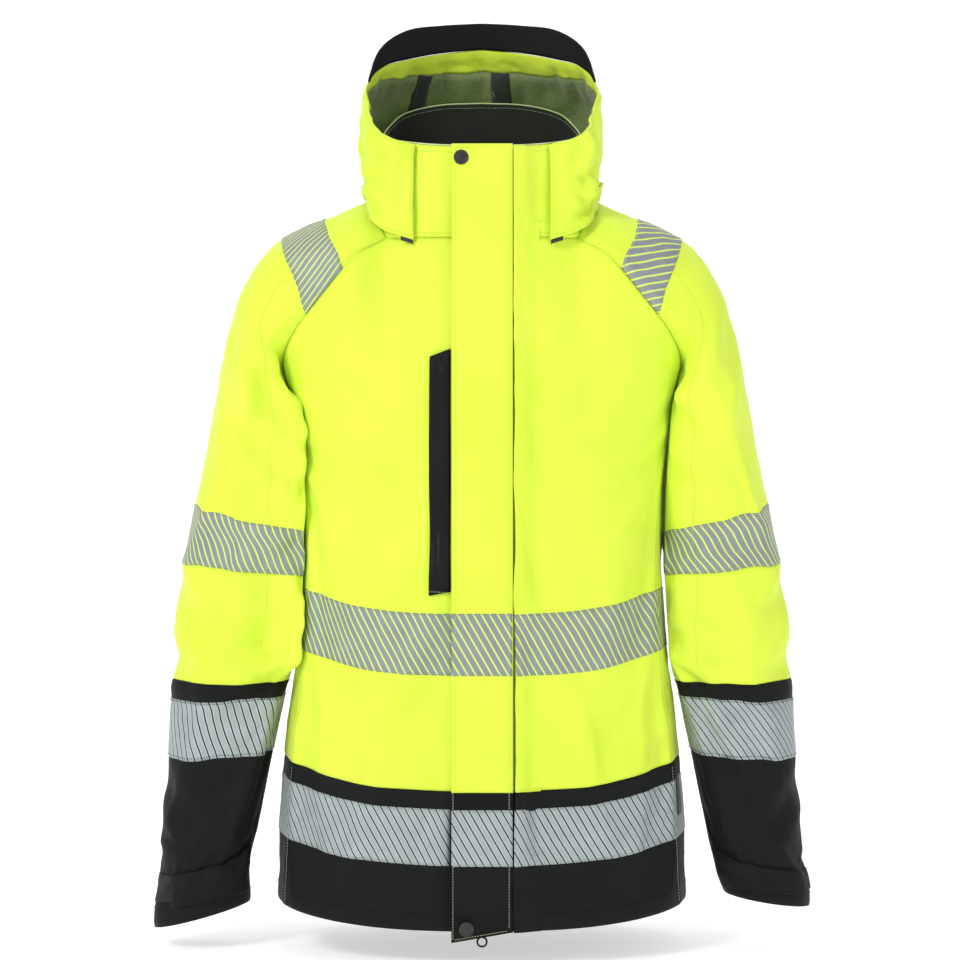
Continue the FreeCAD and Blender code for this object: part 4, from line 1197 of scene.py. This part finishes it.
def make_flap():
    """The storm flap with its tapes, root, hook and loop strips and press studs."""
    x = (FLAP_LEFT, FLAP_RIGHT)
    upper = plane_piece("flap_yellow", x, (FLAP_BREAK, FLAP_TOP), FLAP_OUT, YELLOW, 2.0, YELLOW, 3.5, 0.25,
                        sink=0.6)
    hung(upper, "storm_flap", "flap_upper")
    lower = plane_piece("flap_black", x, (0, FLAP_BREAK), FLAP_OUT, BLACK, 2.0, BLACK, 3.5, 0.2,
                        flap_foot_at, 0.6)
    hung(lower, "storm_flap", "flap_lower")
    for name, level, material in (("flap_body_tape", BODY_BAND, TAPE_ON_YELLOW),
                                  ("flap_hem_tape", HEM_BAND, TAPE_ON_BLACK)):
        heights = band_heights(level)
        tape = plane_piece(name, (FLAP_LEFT, FLAP_RIGHT - 0.6), heights, FLAP_OUT - 0.55, material, 0.4,
                           material, 3.5, 0.25, sink=0.3)
        hung(tape, "storm_flap", "flap_bands")
        edges = [level_line(z, (FLAP_LEFT + 1, FLAP_RIGHT - 1.5), FLAP_OUT - 0.6)
                 for z in (heights[0] + 1.6, heights[1] - 1.6)]
        hung(stitches(name + "_stitches", edges, PALE_THREAD), "storm_flap")
    slope = (FLAP_FOOT_RIGHT - FLAP_FOOT_LEFT) / (FLAP_RIGHT - FLAP_LEFT)
    rows = [upright(FLAP_RIGHT - 4, FLAP_BREAK, FLAP_TOP - 3, FLAP_OUT),
            upright(FLAP_LEFT + 3.5, FLAP_BREAK, FLAP_TOP - 3, FLAP_OUT),
            level_line(FLAP_TOP - 4, (FLAP_LEFT + 4, FLAP_RIGHT - 5), FLAP_OUT)]
    hung(stitches("flap_stitches", rows, THREAD), "storm_flap")
    rows = [upright(FLAP_RIGHT - 4, FLAP_FOOT_RIGHT + 3, FLAP_BREAK, FLAP_OUT),
            upright(FLAP_LEFT + 1.6, FLAP_FOOT_LEFT + 2, FLAP_BREAK, FLAP_OUT),
            level_line(FLAP_FOOT_LEFT + 3, (FLAP_LEFT + 2, FLAP_RIGHT - 4), FLAP_OUT, slope)]
    hung(stitches("flap_pale_stitches", rows, PALE_THREAD, 2.8, 2.0, 0.6), "storm_flap")
    for name, z, material in (("flap_root_yellow", (FLAP_BREAK, FLAP_TOP - 2), YELLOW),
                              ("flap_root_black", (FLAP_FOOT_RIGHT, FLAP_BREAK), BLACK)):
        across = np.linspace(FLAP_RIGHT + 0.4, ROOT_END, 15)
        heights = spaced(*z, z[1] - z[0], 6) + NECK_FRONT[2]
        rise = (root_rise(across) - 0.1)[:, None, None]
        below = heights < NECK_FRONT[2] - 4
        grid = front_at(fronts["left"], across, heights[below], rise)
        if not below.all():
            above = collar_at(across, heights[heights > NECK_FRONT[2] + 2], rise)
            grid = np.concatenate([grid, above], axis=1)
        hung(cloth_object(name, grid, 1, material, INNER, 0.9), "coat", "flap_seam")
    for name, body, y, thickness, node in (("flap_hooks", "storm_flap", -6.4, 1.5, "flap_hook_strips"),
                                           ("front_loops", "coat", -2.4, 1.9, "front_loop_strips")):
        for number, z in enumerate([(-600, -430), (-360, -190), (-130, 50)]):
            hung(plane_piece(f"{name}_{number}", (-27, -11), z, y, PILE, thickness, pitch=4.0), body, node)
    steps = [(0, 0.1), (0, 0.9), (0.5, 1.45), (1.4, 1.6), (2.0, 1.35), (2.6, 1.3), (4.0, 1.7), (6.3, 1.85)]
    cap = [(SNAP_RADIUS - inwards, FLAP_OUT - rise) for inwards, rise in steps]
    hung(turned_profile("snap_caps", cap, SNAPS, PLASTIC), "storm_flap", "flap_snaps")
    socket = [(6.2, -6.4), (6.2, -5.2), (5.4, -4.9), (3.8, -4.9), (3.6, -5.9), (1.0, -5.9)][::-1]
    hung(turned_profile("snap_sockets", socket, SNAPS, METAL), "storm_flap", "flap_snaps")
    stud = [(6.0, -0.5), (6.0, -1.4), (5.2, -1.8), (3.2, -2.0), (2.8, -2.6), (3.2, -3.6), (2.6, -4.3),
            (1.0, -4.4)]
    hung(turned_profile("snap_studs", stud, SNAPS, METAL), "coat", "front_snap_studs")


def front_at(cloth, x, z, offset):
    """A grid on a front at given distances from the middle and given heights."""
    keys = np.linspace(FRONT_START, 66, 300)
    grid = np.empty((len(x), len(z), 3))
    for j, height in enumerate(z):
        level = height + 23.0
        for _ in range(4):
            row = cloth.grid(keys, [level - 1, level, level + 1])[:, 1]
            level += height - float(np.interp(x[len(x) // 2], abs(row[:, 0]), row[:, 2]))
        found = np.interp(x, abs(row[:, 0]), keys)
        grid[:, j] = cloth.grid(found, [level - 1, level, level + 1], offset)[:, 1]
    return grid


def collar_at(x, z, offset):
    """A grid on the collar's front at given distances from the middle and given heights."""
    angles = np.linspace(COLLAR_START, 60, 300)
    grid = np.empty((len(x), len(z), 3))
    for j, height in enumerate(z):
        share = (height - NECK_FRONT[2]) / (COLLAR_TOP[0][2] - NECK_FRONT[2])
        row = collar.grid(angles, [share - 0.01, share, share + 0.01])[:, 1]
        found = np.interp(x, row[:, 0], angles)
        grid[:, j] = collar.grid(found, [share - 0.01, share, share + 0.01], offset)[:, 1]
    return grid


def make_zip():
    """The zip's tapes, and the looks of the teeth, sliders and pulls."""
    for sign, name in ((1, "left"), (-1, "right")):
        x = sorted((sign * 3.8, sign * 12))
        tape = plane_piece("zip_tape_" + name, x, (-684, 86), 3.4, PILE, 0.6, pitch=6.0)
        hung(tape, "coat", "zip_tapes")
    for node in ("zip_teeth", "pocket_zip_teeth"):
        paint(node, PLASTIC)
    for node in ("upper_slider", "upper_pull", "lower_slider", "ring_pull", "pocket_slider"):
        paint(node, METAL)
        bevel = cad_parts[node].modifiers.new("Softened", "BEVEL")
        bevel.width, bevel.segments, bevel.limit_method = 0.0003, 2, "ANGLE"


def paint(node, material):
    """Gives a node of the part its material."""
    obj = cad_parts[node]
    obj.data.materials.clear()
    obj.data.materials.append(material)


def make_pocket():
    """The chest pocket with its cover, zip tapes and bag."""
    cloth = fronts["right"]
    low, high = (NECK_FRONT[2] + z for z in POCKET_Z)
    across = np.linspace(*POCKET_X, 9)
    whole = front_at(cloth, across, spaced(low - 4, high + 2, high - low, 8), 3.4)
    grid = whole.copy()
    for i, share in enumerate(np.linspace(0, 1, 9)):
        heights = np.linspace(low + 4 * (1 - share), high - 8 * share, whole.shape[1])
        grid[i] = np.stack([np.interp(heights, whole[i, :, 2], whole[i, :, c]) for c in range(3)], -1)
    sunk = sink_edges(grid, cloth.outward, 0.6)
    welt = cloth_object("pocket_cover", sunk, cloth.outward, BLACK, BLACK, 1.0)
    hung(welt, "coat", "pocket_welt")
    normals = normals_of(grid, cloth.outward)
    foot = front_at(cloth, across, [low + 2, low + 3.6, low + 5], 3.8)
    hung(stitches("pocket_stitches", [(foot[:, 1], normals[:, 1])], PALE_THREAD, 2.4, 1.5, 0.6), "coat")
    for sign, name in ((1, "left"), (-1, "right")):
        x = sorted((-42 + sign * 2.7, -42 + sign * 9))
        tape = plane_piece("pocket_tape_" + name, x, (-348, -124), 3.0, PILE, 0.5, pitch=6.0)
        hung(tape, "coat", "pocket_zip_tapes")
    bag = front_at(cloth, np.linspace(35, 123, 20), spaced(low - 10, high, high - low, 12), -6.8)
    hung(cloth_object("pocket_sack", bag, cloth.outward, INNER, INNER, 1.0), "coat", "pocket_bag")


# The picture.

def area_light(name, place, target, size, power):
    """A round soft light that faces a target."""
    light = bpy.data.lights.new(name, "AREA")
    light.shape, light.size, light.energy = "DISK", size, power
    obj = bpy.data.objects.new(name, light)
    obj.location = place
    obj.rotation_euler = (Vector(target) - Vector(place)).to_track_quat("-Z", "Y").to_euler()
    bpy.context.collection.objects.link(obj)


def make_stage():
    """The floor that curves up behind, the lights and the world."""
    low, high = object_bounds()
    half, start, radius, foot = 9.0, 3.4, 1.5, low.z - 0.02
    turn = np.linspace(0, math.pi / 2, 13)
    profile = [(-half, foot)]
    profile += [(start + radius * math.sin(a), foot + radius * (1 - math.cos(a))) for a in turn]
    profile.append((start + radius, foot + 5))
    points = [(x, y, z) for y, z in profile for x in (-half, half)]
    faces = [(2 * i, 2 * i + 1, 2 * i + 3, 2 * i + 2) for i in range(len(profile) - 1)]
    mesh = bpy.data.meshes.new("floor")
    mesh.from_pydata(points, [], faces)
    mesh.polygons.foreach_set("use_smooth", [True] * len(faces))
    floor = bpy.data.objects.new("floor", mesh)
    bpy.context.collection.objects.link(floor)
    material, _, shader = nodes_of("pale_floor")
    shader.inputs["Base Color"].default_value = (0.86, 0.86, 0.86, 1)
    shader.inputs["Roughness"].default_value = 0.9
    shader.inputs["Emission Color"].default_value = (1, 1, 1, 1)
    shader.inputs["Emission Strength"].default_value = 0.5
    mesh.materials.append(material)
    world = bpy.data.worlds.new("studio")
    world.use_nodes = True
    world.node_tree.nodes["Background"].inputs["Color"].default_value = (1, 1, 1, 1)
    world.node_tree.nodes["Background"].inputs["Strength"].default_value = 0.5
    bpy.context.scene.world = world
    middle = (0, -0.05, (low.z + high.z) / 2)
    area_light("key", (-1.6, -2.1, 1.3), middle, 0.9, 38)
    area_light("fill", (1.8, -1.8, 0.2), middle, 2.0, 8)
    area_light("top", (0.2, 0.2, 2.2), middle, 1.6, 14)
    scene = bpy.context.scene
    scene.view_settings.view_transform = "Standard"
    scene.view_settings.look = "None"


def make_camera():
    """A level camera in front of the coat, at half its height."""
    camera = bpy.data.cameras.new("camera")
    camera.sensor_width = 36
    camera.lens = 90
    obj = bpy.data.objects.new("camera", camera)
    bpy.context.collection.objects.link(obj)
    obj.location = (-0.002, CAD_BOX[0].y - 2.38, -0.3075)
    obj.rotation_euler = (math.radians(90), 0, 0)
    bpy.context.scene.camera = obj


make_fronts()
make_back()
make_sleeves()
make_collar()
make_hood()
make_flap()
make_zip()
make_pocket()
make_stage()
make_camera()
